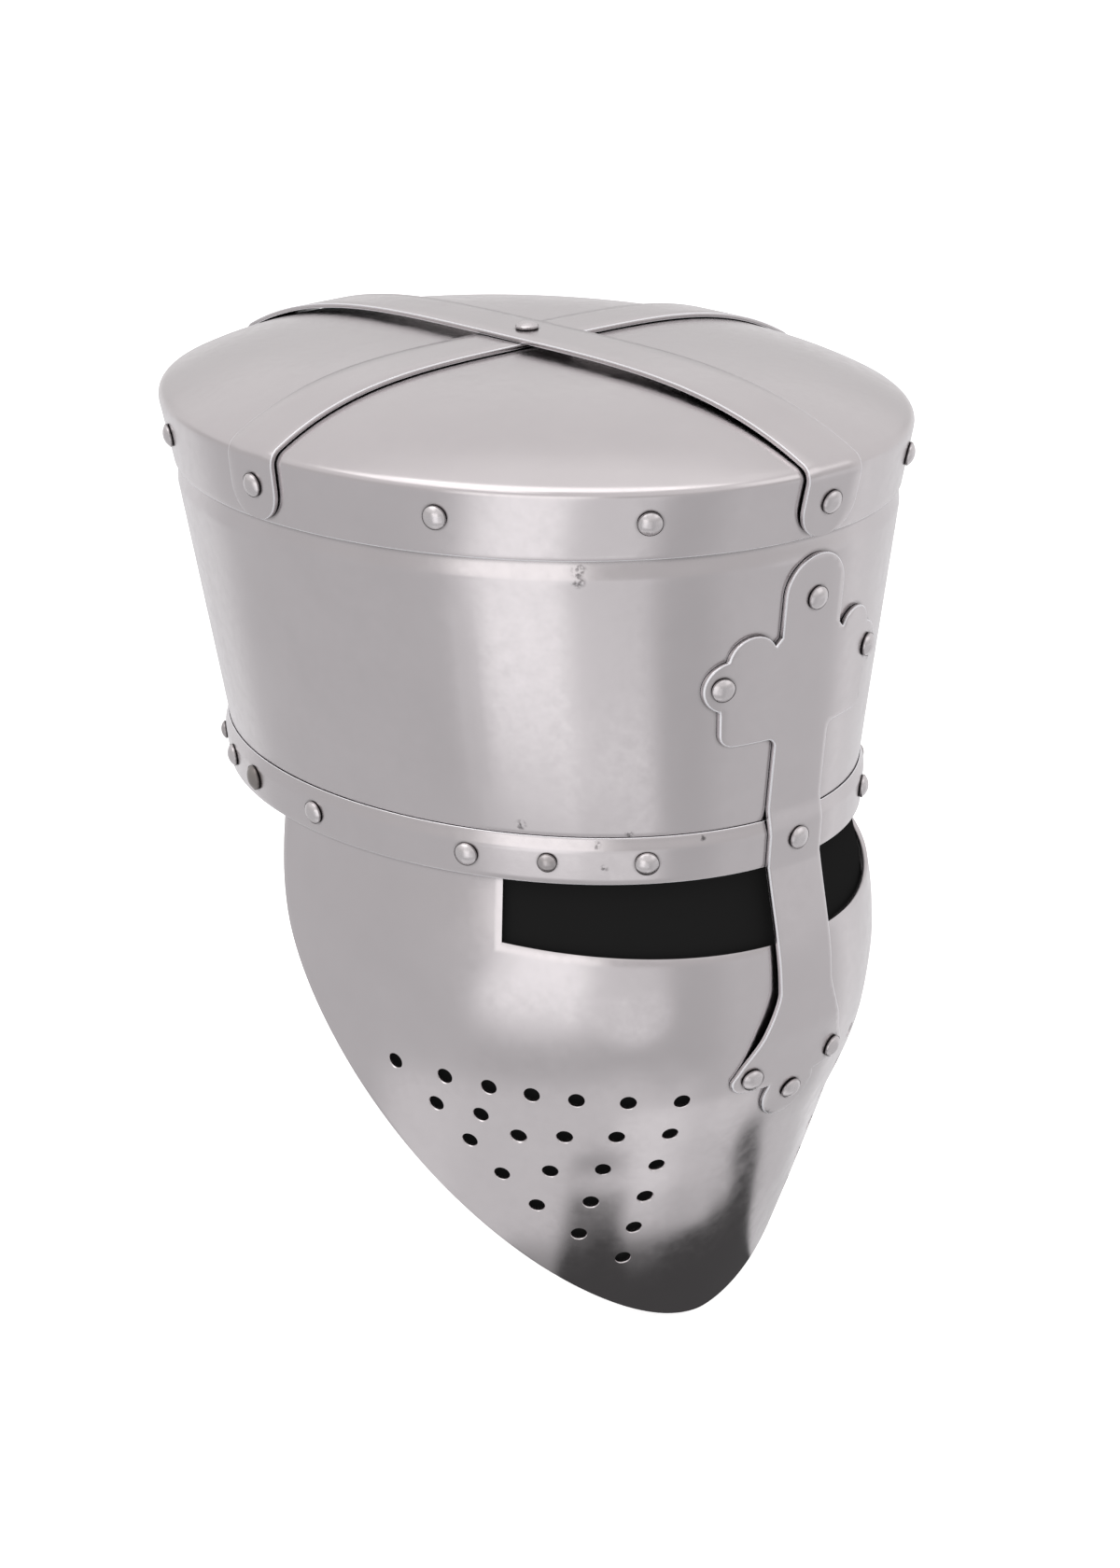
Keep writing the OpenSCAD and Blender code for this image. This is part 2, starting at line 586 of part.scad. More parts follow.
// The strap's fold lies on its inner side, held by a rivet
fold_len = 2*buckle_l + 4;
fold_spot = chin_spot(-1, chin_buckle_l - fold_len + 9);
keeper_spot = chin_spot(-1, chin_buckle_l - buckle_l + 1);
module chin_strap_right() color(leather) difference() {
    union() {
        chin_run(-1, chin_buckle_l + 0.2, fold_len);
        chin_end(-1, 0);
        at_spot(buckle_spot) rotate([0, 90, 0]) cylinder(d = fold_d, h = chin_w - 0.6, center = true);
    }
    chin_rivet_hole(-1);
    holes([fold_spot]);
    at_spot(buckle_spot) {
        rotate([0, 90, 0]) cylinder(d = wire_d + 0.1, h = 3*chin_w, center = true);
        // Slot that lets the prong swing
        cube([prong_w + 0.8, 2*fold_d, 3*fold_d], center = true);
    }
}
module chin_strap_left() color(leather) difference() {
    union() {
        chin_run(1, chin_tail_l);
        chin_end(1, 0);
        chin_end(1, chin_tail_l);
    }
    chin_rivet_hole(1);
    for (i = [0 : 4]) at_spot(chin_spot(1, chin_tail_l - 12 - 14*i))
        cylinder(d = 4, h = 4*chin_t, center = true);
}
// The keeper holds the fold shut, with room for the other half's tail
module strap_keeper() color(leather) {
    wall = 1.8;
    room = 2*chin_t + fold_shift + 1;
    at_spot(keeper_spot) translate([0, 0, chin_t/2 + 0.3 - room/2]) difference() {
        cube([chin_w + 0.8 + 2*wall, 8, room + 2*wall], center = true);
        cube([chin_w + 0.8, 12, room], center = true);
    }
}
module fold_rivet() color(dark_steel) at_spot(fold_spot)
    translate([0, 0, -fold_shift - chin_t/2 - 0.2]) mirror([0, 0, 1]) rivet(chin_t + fold_shift + 0.2, 6, 1.4);
module chin_rivets() color(dark_steel)
    rivets(chin_spots, brow_grip + chin_gap + chin_t, head_d + 0.8, head_h);

crown_plate();
skull_drum();
brow_band();
face_plate();
crown_strap_long();
crown_strap_cross();
nasal_cross();
flange_rivets();
strap_end_rivets();
crown_rivet();
brow_rivets();
cross_rivets();
foot_rivets();
liner_rivets();
chin_rivets();
liner_band();
liner_tongues();
liner_patch();
chin_strap_right();
chin_strap_left();
buckle_frame();
buckle_prong();
strap_keeper();
fold_rivet();
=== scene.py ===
import math
import bpy
import bmesh
import numpy as np
from mathutils import Matrix
from mathutils.geometry import delaunay_2d_cdt


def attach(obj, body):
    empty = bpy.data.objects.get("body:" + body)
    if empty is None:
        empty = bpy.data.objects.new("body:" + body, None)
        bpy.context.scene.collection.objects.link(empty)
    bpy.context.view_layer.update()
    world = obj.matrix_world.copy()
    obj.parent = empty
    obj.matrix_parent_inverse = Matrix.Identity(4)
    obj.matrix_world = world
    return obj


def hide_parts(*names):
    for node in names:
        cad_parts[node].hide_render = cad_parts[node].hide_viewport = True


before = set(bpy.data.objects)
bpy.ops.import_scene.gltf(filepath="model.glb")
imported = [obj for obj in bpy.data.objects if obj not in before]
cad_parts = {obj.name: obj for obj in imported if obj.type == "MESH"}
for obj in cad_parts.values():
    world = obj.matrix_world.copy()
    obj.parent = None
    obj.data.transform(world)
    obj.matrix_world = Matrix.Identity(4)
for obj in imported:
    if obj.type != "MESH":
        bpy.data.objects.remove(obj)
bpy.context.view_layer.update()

# Lengths are in mm, and become metres in the meshes and materials
MM = 0.001

# The camera stands before the helmet's right cheek and looks a little down on its crown.
# Its place and lens were worked out from the ovals of the crown and the brow band in the photograph.
turn, rise, roll = np.radians([-40.88, 21.05, -1.24])
target = np.array([5.65, -4.84, -8.9])
distance = 1043.9
back = np.array([math.sin(turn)*math.cos(rise), -math.cos(turn)*math.cos(rise), math.sin(rise)])
level_right = np.array([math.cos(turn), math.sin(turn), 0.0])
straight_up = np.cross(back, level_right)
image_right = math.cos(roll)*level_right + math.sin(roll)*straight_up
image_up = math.cos(roll)*straight_up - math.sin(roll)*level_right
camera = bpy.data.objects.new("camera", bpy.data.cameras.new("camera"))
camera.data.lens = 70.38
camera.data.sensor_width = 36
axes = np.column_stack([image_right, image_up, back])
camera.matrix_world = Matrix.Translation((target + distance*back)*MM) @ Matrix(axes.tolist()).to_4x4()
bpy.context.scene.collection.objects.link(camera)
bpy.context.scene.camera = camera
bpy.context.scene.view_settings.view_transform = "Standard"


# The skull drum is an oval hoop of 1.6 mm steel, wider at the top, its seam welded at the back.
# It is drawn in under the crown's flange, and its lower rim tucks in behind the face plate.
sheet_t = 1.6
seam_gap = 0.12
lap = sheet_t + seam_gap
flange_z = 106.6
flange_h = 21.8
rim_z = flange_z + flange_h
shoulder_z = 99.6
# Half width and half length of the drum at the brow, and the whole sizes of the flange's edge and of
# the rim, whose middle lies a little to the back
brow_half = (93.1, 120.7)
flange_size = (215.2, 262.6)
rim_size = (219, 276.4)
rim_shift = 1.2
# The brow band's height, its bevel's start, and how far it stands off the drum at its lower edge
band_h = 15.5
bevel_z = 11.0
band_stand = 0.55
# The face plate's depth, and how far round it reaches at the brow, in degrees
face_h = 178.8
face_wrap = 100.3


def lerp(a, b, t):
    """From a to b in a straight line as t goes from 0 to 1."""
    return a + (b - a)*t


def ease(t):
    """From 0 to 1, starting and stopping softly: three t squared less two t cubed."""
    u = np.clip(t, 0, 1)
    return u*u*(3 - 2*u)


def oval(half_width, half_length, middle, z):
    """An oval at each height, as its half width, half length and middle."""
    return np.stack([half_width + 0*z, half_length + 0*z, middle + 0*z])


def grown(level, d):
    """The same oval with a distance added to both half axes."""
    return np.stack([level[0] + d, level[1] + d, level[2] + 0*d])


def on(level, t, z):
    """Point of an oval at an angle from the front: half width times sine across, middle less half
    length times cosine along, and the height."""
    x, y, z = np.broadcast_arrays(level[0]*np.sin(t), level[2] - level[1]*np.cos(t), z)
    return np.stack([x, y, z], -1)


def flange_level(z):
    """The flange's oval widens in a straight line from its lower edge to the rim."""
    t = (z - flange_z)/flange_h
    wide, long = (lerp(edge, rim, t)/2 for edge, rim in zip(flange_size, rim_size))
    return oval(wide, long, rim_shift*t, z)


def drum_level(z):
    """The drum's oval widens in a straight line from the brow to the shoulder, which stands 1 mm
    further out than the neck that laps inside the flange."""
    t = (z - band_h)/(shoulder_z - band_h)
    wide, long = (lerp(brow, edge/2 - (lap - 1), t) for brow, edge in zip(brow_half, flange_size))
    return oval(wide, long, 0, z)


def band_level(z):
    """The brow band stands off the drum and leans out by 1 mm from its edge to its bevel."""
    out = band_stand + z/bevel_z
    return oval(brow_half[0] + out, brow_half[1] + out, 0, z)


def through(values, x):
    """Smooth curve through evenly spaced values: cubic Hermite pieces with slopes from the neighbours."""
    v = np.asarray(values, float)
    slope = np.gradient(v)
    i = np.clip(np.floor(x).astype(int), 0, len(v) - 2)
    t = x - i
    return ((2*t**3 - 3*t**2 + 1)*v[i] + (t**3 - 2*t**2 + t)*slope[i]
            + (3*t**2 - 2*t**3)*v[i + 1] + (t**3 - t**2)*slope[i + 1])


# Half width and half length that the face plate gains on the brow, at fifths of its depth
face_wider = [0, 6.1, 5.2, -0.7, -9.6, -20.8]
face_longer = [0, 5.8, 2.1, -13.3, -27.1, -40.8]


def plate_level(z):
    """The face plate lies one sheet inside the brow band, then swells and draws in by the values above."""
    z = np.asarray(z, float)
    depth = np.clip(-z/face_h*5, 0, 5)
    brow = band_level(np.maximum(z, 0))
    wide = brow[0] - lap + through(face_wider, depth)
    return oval(wide, brow[1] - lap + through(face_longer, depth), 0, z)


def drum_side(z, t):
    """The drum's outer skin: low rim, joggle, straight cone, then the neck and the lap inside the
    flange, each blended into the next by height. The rim is tucked in to 3 degrees behind the face
    plate's edge, and is out again 5 degrees on."""
    tuck = ease((face_wrap + 3 + 5 - np.abs(np.degrees(t)))/5)
    low = plate_level(np.minimum(z, bevel_z))
    low = grown(low, -lap*tuck)
    cone = drum_level(np.clip(z, band_h, shoulder_z))
    neck = grown(flange_level(np.maximum(z, flange_z)), -lap + 0*z)
    step = np.clip((z - bevel_z)/(band_h - bevel_z), 0, 1)
    u = (z - shoulder_z)/(flange_z - shoulder_z)
    draw = lerp(np.clip(u, 0, 1), ease(u), 0.6)
    return lerp(lerp(low, cone, step), neck, draw)


def mesh_object(name, points, faces, sharp=38, local=None):
    """Object of points in mm and faces, its doubles merged, smooth but at edges sharper than an angle.
    Where the volumes of the cones from the middle of the points to the faces sum to less than nothing,
    all faces turn. Where there are several solids, local has each point as seen from its own middle."""
    points = np.asarray(points, float)*MM
    faces = np.asarray(faces)
    local = points - points.mean(0) if local is None else local
    a, b, c, d = (local[faces[:, n % faces.shape[1]]] for n in range(4))
    volume = (a*np.cross(b, c)).sum() + (a*np.cross(c, d)).sum()*(faces.shape[1] == 4)
    mesh = bpy.data.meshes.new(name)
    mesh.from_pydata(points.tolist(), [], (faces if volume > 0 else faces[:, ::-1]).tolist())
    edit = bmesh.new()
    edit.from_mesh(mesh)
    bmesh.ops.remove_doubles(edit, verts=edit.verts, dist=2e-6)
    edit.to_mesh(mesh)
    edit.free()
    mesh.shade_smooth()
    mesh.set_sharp_from_angle(angle=math.radians(sharp))
    piece = bpy.data.objects.new(name, mesh)
    bpy.context.scene.collection.objects.link(piece)
    return piece


def grid_faces(rows, columns, join_rows, join_columns):
    """Faces of a grid: each joins a point to the next row and column, and the last row or column to
    the first where they are joined."""
    j = np.arange(rows if join_rows else rows - 1)[:, None]
    i = np.arange(columns if join_columns else columns - 1)[None, :]
    h, k = (j + 1) % rows, (i + 1) % columns
    return np.stack([j*columns + i, h*columns + i, h*columns + k, j*columns + k], -1)


def skin(name, grid, join_rows=True, join_columns=True, gaps=None, sharp=38):
    """Mesh over a grid of points in mm, without the faces in the gaps. Where only the columns are
    joined, as round a bar, the two end rows are capped from side to side."""
    rows, columns = grid.shape[:2]
    quads = grid_faces(rows, columns, join_rows, join_columns)
    quads = quads[~gaps] if gaps is not None else quads.reshape(-1, 4)
    if join_columns and not join_rows:
        i = np.arange(columns//2 - 1)
        k = columns - 1 - i
        end = (rows - 1)*columns
        quads = np.concatenate([quads, np.stack([i, i + 1, k - 1, k], -1),
                                end + np.stack([k, k - 1, i + 1, i], -1)])
    return mesh_object(name, grid.reshape(-1, 3), quads, sharp)


def finished(piece, sharp=38):
    """Gives a piece the mesh that its modifiers make, smooth but at sharp edges."""
    graph = bpy.context.evaluated_depsgraph_get()
    made = bpy.data.meshes.new_from_object(piece.evaluated_get(graph))
    piece.modifiers.clear()
    piece.data = made
    made.shade_smooth()
    made.set_sharp_from_angle(angle=math.radians(sharp))
    return piece


def tone(code):
    """Linear colour of an sRGB hex code: each part plus 0.055, over 1.055, to the power 2.4."""
    parts = np.array([int(code[i:i + 2], 16)/255 for i in (1, 3, 5)])
    linear = np.where(parts < 0.04045, parts/12.92, ((parts + 0.055)/1.055)**2.4)
    return (*linear.tolist(), 1)


def blank_tree(holder):
    """The node tree of a material or a world, turned on and emptied."""
    holder.use_nodes = True
    holder.node_tree.nodes.clear()
    return holder.node_tree


def add_node(tree, kind, inputs=(), **settings):
    """Adds a shader node, sets its properties, and gives each input a value or a link."""
    made = tree.nodes.new(kind)
    for key, value in settings.items():
        setattr(made, key, value)
    for key, value in dict(inputs).items():
        if isinstance(value, bpy.types.NodeSocket):
            tree.links.new(value, made.inputs[key])
        else:
            made.inputs[key].default_value = value
    return made


# Freshly filed steel: the strokes of the file scatter light, so a cut edge shows as a thin bright line, and
# its near-white colour adds a painted highlight along it
filed_edge_highlight = bpy.data.materials.new("filed_edge_painted_highlight")
tree = blank_tree(filed_edge_highlight)
shader = add_node(tree, "ShaderNodeBsdfPrincipled", {
    "Base Color": tone("#f6f5f8"), "Metallic": 1.0, "Roughness": 0.5})
add_node(tree, "ShaderNodeOutputMaterial", {"Surface": shader.outputs["BSDF"]})


def filed(piece, width=0.35, bright=False):
    """Files the cut edges of a piece round over a width in mm, as a smith does with sheet. A bright
    piece gets two material slots: the first waits for the sheet's own steel, and the second is the
    filed faces', whose near-white colour is a painted highlight."""
    edge = piece.modifiers.new("filed edges", "BEVEL")
    if bright:
        piece.data.materials.append(filed_edge_highlight)
        piece.data.materials.append(filed_edge_highlight)
        edge.material = 1
    edge.width = width*MM
    edge.segments = 2
    edge.angle_limit = math.radians(50)
    edge.miter_outer = "MITER_ARC"
    return finished(piece)


def fitted(piece, node, material, body="helmet"):
    """Gives a piece its material and its body, and hides the solid of model.glb that it stands for."""
    if piece.data.materials:
        piece.data.materials[0] = material
    else:
        piece.data.materials.append(material)
    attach(piece, body)
    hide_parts(node)
    return piece


def steel(name, light="#d3cecf", dark="#cac5c6", smooth=0.17, rough=0.27, wave=0.08, grain=0.004, scars=()):
    """Steel sheet or wire: two tones in clouds of 26 mm, roughness from smooth to rough in spots of 4 mm,
    painted shade in seams of 2 mm, where ambient occlusion darkens the colour, waves of the hammer 28 mm
    apart, and a satin grain. The real grain is 0.1 mm and can't show, so it is drawn at 0.7 mm. Wave and
    grain are depths in mm. Scars are dull dark spots of slag or weld, pitted at 1.4 mm: their middle and
    radius in mm. The values are the satin sheet's."""
    material = bpy.data.materials.new(name)
    tree = blank_tree(material)
    place = add_node(tree, "ShaderNodeTexCoord").outputs["Object"]
    clouds = add_node(tree, "ShaderNodeTexNoise", {"Vector": place, "Scale": 38, "Detail": 4})
    specks = add_node(tree, "ShaderNodeTexNoise", {
        "Vector": place, "Scale": 260, "Detail": 5, "Roughness": 0.65})
    # Painted shade: ambient occlusion darkens the colour in seams, under edges and round rivet heads, where
    # shade falls
    seam = add_node(tree, "ShaderNodeAmbientOcclusion", {"Distance": 2.2*MM}, samples=8)
    painted_seam_shade = add_node(tree, "ShaderNodeMapRange", {
        "Value": seam.outputs["AO"], "From Min": 0.38, "From Max": 0.88, "To Min": 0.88, "To Max": 0.0})
    shade_and_scars = painted_seam_shade.outputs["Result"]
    pits = add_node(tree, "ShaderNodeTexNoise", {"Vector": place, "Scale": 700, "Detail": 3})
    pitted = add_node(tree, "ShaderNodeMapRange", {
        "Value": pits.outputs["Fac"], "From Min": 0.42, "From Max": 0.62, "To Min": 0.0, "To Max": 0.75})
    for *middle, radius in scars:
        gap = add_node(tree, "ShaderNodeVectorMath", {0: place, 1: [v*MM for v in middle]},
                       operation="DISTANCE")
        near = add_node(tree, "ShaderNodeMapRange", {
            "Value": gap.outputs["Value"], "From Min": 0.3*radius*MM, "From Max": 1.2*radius*MM,
            "To Min": 1.0, "To Max": 0.0}, interpolation_type="SMOOTHSTEP")
        scar = add_node(tree, "ShaderNodeMath", {0: near.outputs["Result"], 1: pitted.outputs["Result"]},
                        operation="MULTIPLY")
        shade_and_scars = add_node(tree, "ShaderNodeMath", {0: shade_and_scars, 1: scar.outputs[0]}, operation="MAXIMUM").outputs[0]
    # The Mix node's colour inputs are its sockets 6 and 7, and its colour output is socket 2
    cloudy = add_node(tree, "ShaderNodeMix", {0: clouds.outputs["Fac"], 6: tone(light), 7: tone(dark)},
                      data_type="RGBA")
    # Painted seam shade and the real scars both pull the colour towards the dark tone
    colour = add_node(tree, "ShaderNodeMix", {0: shade_and_scars, 6: cloudy.outputs[2], 7: tone("#2b2829")},
                      data_type="RGBA")
    polish = add_node(tree, "ShaderNodeMapRange", {
        "Value": specks.outputs["Fac"], "From Min": 0.3, "From Max": 0.72, "To Min": smooth, "To Max": rough})
    waves = add_node(tree, "ShaderNodeTexNoise", {"Vector": place, "Scale": 35, "Detail": 1})
    uneven = add_node(tree, "ShaderNodeBump", {
        "Height": waves.outputs["Fac"], "Strength": 1.0, "Distance": wave*MM})
    scratches = add_node(tree, "ShaderNodeTexNoise", {"Vector": place, "Scale": 1400, "Detail": 2})
    satin = add_node(tree, "ShaderNodeBump", {
        "Height": scratches.outputs["Fac"], "Strength": 1.0, "Distance": grain*MM,
        "Normal": uneven.outputs["Normal"]})
    shader = add_node(tree, "ShaderNodeBsdfPrincipled", {
        "Base Color": colour.outputs[2], "Metallic": 1.0,
        "Roughness": polish.outputs["Result"], "Normal": satin.outputs["Normal"]})
    add_node(tree, "ShaderNodeOutputMaterial", {"Surface": shader.outputs["BSDF"]})
    return material


def hammered(t, z, marks):
    """Shallow marks of the hammer, outwards in mm: each is its depth times a bell over the angle and
    a bell over the height, e to the power of less the square of the distance from its middle."""
    bells = [depth*np.exp(-((t - t_at)/t_soft)**2 - ((z - z_at)/z_soft)**2)
             for t_at, t_soft, z_at, z_soft, depth in marks]
    return sum(bells)


round_t = np.radians(np.arange(0, 360, 1.5))[None, :]


def hoop(outer, inner, z):
    """Rings up a hoop's outer side and back down its inner side."""
    return np.concatenate([on(outer, round_t, z), on(inner, round_t, z)[::-1]])


signed_t = np.where(round_t > math.pi, round_t - 2*math.pi, round_t)
heights = np.concatenate([np.linspace(1, bevel_z, 6), np.linspace(12, band_h, 4),
                          np.linspace(17, shoulder_z - 4, 24), np.linspace(shoulder_z - 3, flange_z + 1, 14),
                          [112, 118, flange_z + 17]])[:, None]
# The hoop was hammered nearly true: a crease either side of the brow and long shallow waves are left,
# and they fade towards the band and the shoulder
drum_marks = [(-57.2, 1.9, 58, 70, -0.13), (-54, 2.4, 70, 60, 0.06), (-24.1, 2.0, 72, 50, -0.06),
              (-33, 6, 84, 16, 0.1), (-46, 5, 88, 14, -0.1), (-112, 3, 60, 80, -0.15), (62, 3, 60, 60, -0.1)]
drum_wave = 0.05*np.sin(9*signed_t + 1.0)*np.sin(heights/17) + 0.04*np.sin(14*signed_t + 2.2 + heights/40)
drum_clear = np.clip((heights - 22)/10, 0, 1)*np.clip((98 - heights)/10, 0, 1)
drum_dent = drum_clear*(hammered(np.degrees(signed_t), heights, drum_marks) + drum_wave)
drum_true = drum_side(heights + 0*round_t, signed_t)
drum_grid = hoop(grown(drum_true, drum_dent), grown(drum_true, -sheet_t), heights)
drum = filed(skin("skull_drum_sheet", drum_grid), bright=True)
# Mild steel buffed to a satin, with dull traces of tack welds and slag by the flange and the band
welded_sheet = steel("tack_welded_sheet_steel", scars=[
    (-68, -100.2, 103.5, 2.6), (-68.2, -100.2, 100.5, 2.4), (-72.5, -76.5, 18.5, 2.0),
    (-50.6, -101.4, 16.2, 1.6), (60, -92, 22, 2.0), (40, 108, 100, 2.4)])
fitted(drum, "skull_drum", welded_sheet)


# The brow band is a hoop of the same sheet, riveted over the drum's lower edge and the face plate.
# Its top is hammered down to a bevel that meets the drum.
bevel_end = 15.4
band_heights = np.array([0, 2, 4.5, 7, 9, 10.2, 10.7, 11.2, 11.8, 12.6, 13.6, 14.6, bevel_end])[:, None]
bevel = np.clip((band_heights - bevel_z)/(bevel_end - bevel_z), 0, 1)
bevel = lerp(bevel, ease(bevel), 0.35)
drum_edge = grown(drum_level(np.array([[band_h]])), np.array([[seam_gap]]))
band_low = band_level(np.minimum(band_heights, bevel_z))
band_out = lerp(band_low, grown(drum_edge, 0.35), bevel)
band_in = lerp(grown(band_low, -sheet_t), drum_edge, bevel)
band = filed(skin("brow_band_hoop", hoop(band_out, band_in, band_heights)), width=0.3, bright=True)
# The same satin steel, with small dull spots of slag by the rivets
tacked_band = steel("tacked_band_steel", scars=[
    (-58.5, -95.3, 13.4, 1.5), (-31.9, -114.3, 13.7, 1.1), (-57.5, -97.5, 5.6, 1.6)])
fitted(band, "brow_band", tacked_band)


# The crown plate is one sheet, raised to a shallow dome whose edge turns down as a flange
# over the drum. The bend is hammered over a stake, so it is tight but not sharp.
crown_rise = 16.6
crown_power = 4
rim_bend = 3.0


def crown_z(r, lift=0, power=crown_power):
    """Height of the dome at a share of the way from its middle to the rim: it falls with a high
    power of that share, so the top is nearly flat."""
    return rim_z + (crown_rise + lift)*(1 - np.abs(r)**power)


def crown_side(inset):
    """Rings of the crown from the flange's edge, over a bend that is a parabola, to the middle. The
    inner side lies one inset further in and lower."""
    rim = grown(flange_level(np.array([[rim_z]])), np.array([[-inset]]))
    foot = grown(flange_level(np.array([[rim_z - rim_bend]])), np.array([[-inset]]))
    wall_z = np.linspace(flange_z, rim_z - rim_bend, 10)[:, None]
    wall = on(grown(flange_level(wall_z), -inset + 0*wall_z), round_t, wall_z)
    start = 1 - rim_bend/(rim_size[0]/2)
    shoulder = on(rim*np.array([start, start, 1])[:, None, None], round_t, crown_z(start) - inset)
    corner = on(rim, round_t, rim_z - inset)
    edge = on(foot, round_t, rim_z - rim_bend)
    q = (np.arange(1, 8)/8)[:, None, None]
    bend = (1 - q)**2*edge + 2*q*(1 - q)*corner + q**2*shoulder
    r = (start*(1 - np.linspace(0, 1, 34)**1.15))[:, None]
    dome = on(rim*np.stack([r, r, 1 + 0*r]), round_t, crown_z(r) - inset)
    return np.concatenate([wall, bend, dome])


crown_grid = np.concatenate([crown_side(0), crown_side(sheet_t)[::-1]])
crown = filed(skin("crown_dome_and_flange", crown_grid), bright=True)
# Mild steel sheet ground and buffed to a satin: it mirrors broad lights softly, in a warm light grey
satin_sheet = steel("satin_sheet_steel")
fitted(crown, "crown_plate", satin_sheet)


# The face plate is one sheet bent round the face, dished at the cheeks and drawn in to the chin.
# It is cut out under the brow band for the sights, and drilled with breaths that are countersunk a little.
sight_end = 54.3
sight_top, sill_middle, sill_corner = 0.2, -25.6, -20.4


def edge_angle(z):
    """Angle of the plate's rear edge at a height: a superellipse from the brow round to the chin's tip."""
    return np.radians(face_wrap)*(1 - np.clip(-z/face_h, 0, 1)**1.57)**(1/1.65)


# Columns run from edge to edge, and the middle share of them spans the sights
sight_share = 0.56
across = np.concatenate([np.linspace(-1, -sight_share, 34)[:-1], np.linspace(-sight_share, sight_share, 97),
                         np.linspace(sight_share, 1, 34)[1:]])[None, :]
inner = np.clip(across/sight_share, -1, 1)
sill = lerp(sill_middle, sill_corner, inner**2)
top_rows = np.array([bevel_z, 6, sight_top])[:, None]
side_rows = np.linspace(0, 1, 9)[1:, None]
low_rows = 1 - (1 - np.linspace(0, 1, 76)[1:, None])**1.7
plate_z = np.concatenate([top_rows + 0*across, lerp(sight_top, sill, side_rows),
                          sill + (-face_h - sill)*low_rows])
edge = edge_angle(np.minimum(plate_z, 0))
sight_edge = np.radians(sight_end)*np.minimum(1, edge/edge_angle(sill_middle))
outer = np.clip((np.abs(across) - sight_share)/(1 - sight_share), 0, 1)
plate_t = inner*sight_edge + np.sign(across)*outer*(edge - sight_edge)
# Raising the cheeks over a stake left flat places under the sights and round the chin
plate_marks = [
    (-37, 5, -33, 5, 0.3), (-30, 3.5, -41, 6, -0.25), (-33, 4, -56, 7, 0.32), (-26, 3, -64, 6, -0.25),
    (-50, 9, -42, 14, -0.3), (-8, 5, -74, 7, 0.2), (-36, 6, -104, 8, -0.3), (-22, 6, -112, 8, 0.3),
    (-12, 5, -134, 8, 0.3), (-4, 6, -112, 9, -0.25), (-50, 7, -92, 9, 0.25), (36, 6, -50, 8, 0.3),
    (28, 6, -104, 8, -0.3), (48, 8, -80, 9, 0.25), (14, 6, -128, 8, 0.3)]
plate_wave = 0.06*np.sin(8*plate_t + 0.5 + plate_z/31)*np.sin(plate_z/12 + 1.3)
plate_clear = np.clip((-28 - plate_z)/6, 0, 1)
plate_dent = plate_clear*(hammered(np.degrees(plate_t), plate_z, plate_marks) + plate_wave)
plate_grid = on(grown(plate_level(plate_z), plate_dent), plate_t, plate_z)
is_sight = np.zeros((plate_grid.shape[0] - 1, plate_grid.shape[1] - 1), bool)
middle_columns = np.abs((across[0, 1:] + across[0, :-1])/2) < sight_share
first_row = len(top_rows) - 1
is_sight[first_row:first_row + len(side_rows), middle_columns] = True
face_plate = skin("face_plate_sheet", plate_grid, False, False, gaps=is_sight)
sheet = face_plate.modifiers.new("sheet", "SOLIDIFY")
sheet.thickness = sheet_t*MM
sheet.offset = -1
sheet.use_even_offset = True
filed(face_plate, width=0.5, bright=True)


def spots_on(level, t, z, out=0):
    """Points of a skin and its outward directions: the cross of the way round and the way up."""
    t, z = np.broadcast_arrays(np.asarray(t, float), np.asarray(z, float))
    one = np.radians(1)
    side = on(level(z), t + one, z) - on(level(z), t - one, z)
    rise_way = on(level(z + 1), t, z + 1) - on(level(z - 1), t, z - 1)
    n = np.cross(side, rise_way)
    n /= np.linalg.norm(n, axis=-1, keepdims=True)
    return on(level(z), t, z) + out*n, n


def turned(profile, spots, steps=24, uneven=None):
    """Round solids on spots: a profile of radii and heights turned round each spot's outward direction.
    Uneven, where given, changes the radii and heights round the angle."""
    points, n = spots
    u = np.cross([0, 0, 1.0], n)
    u /= np.linalg.norm(u, axis=-1, keepdims=True)
    v = np.cross(n, u)
    a = np.linspace(0, 2*math.pi, steps, endpoint=False)
    r, h = np.asarray(profile, float).T
    r = r[None, :, None] + 0*a
    h = h[None, :, None] + 0*a
    if uneven is not None:
        r, h = uneven(r, h, a)
    return (points[:, None, None] + (r*np.cos(a))[..., None]*u[:, None, None]
            + (r*np.sin(a))[..., None]*v[:, None, None] + h[..., None]*n[:, None, None])


def solids(name, grids, sharp=38):
    """One mesh of several turned solids, each a grid of rings from pole to pole."""
    count, rings, steps = grids.shape[:3]
    quads = grid_faces(rings, steps, False, True).reshape(-1, 4)
    quads = (quads[None] + (np.arange(count)*rings*steps)[:, None, None]).reshape(-1, 4)
    local = grids - grids.mean(axis=(1, 2), keepdims=True)
    return mesh_object(name, grids.reshape(-1, 3), quads, sharp, local.reshape(-1, 3))


def cut_out(piece, cutter, sharp=38):
    """Takes a cutter's solid out of a piece, and deletes the cutter."""
    cut = piece.modifiers.new("cut", "BOOLEAN")
    cut.object = cutter
    cut.solver = "EXACT"
    finished(piece, sharp)
    bpy.data.objects.remove(cutter)


# Columns of breaths on each cheek: how far from the middle, and how many one above the other. The top
# row falls a little from the side to the front, and each column reaches a step further down.
breath_columns = [(93.2, 1), (87.5, 2), (81, 3), (73.5, 3), (64.5, 4), (52.5, 5), (38, 6)]
breath_top, breath_fall, breath_step = -69, 6.3, 12.4
breaths = []
for i, (x, count) in enumerate(breath_columns):
    top = breath_top - breath_fall*i/6
    for z in np.linspace(top, min(top, breath_top - breath_step*i), count):
        t = math.asin(min(1, x/max(plate_level(z)[0], x + 0.1)))
        breaths += [(t, z), (-t, z)]
breath_t, breath_z = np.array(breaths).T
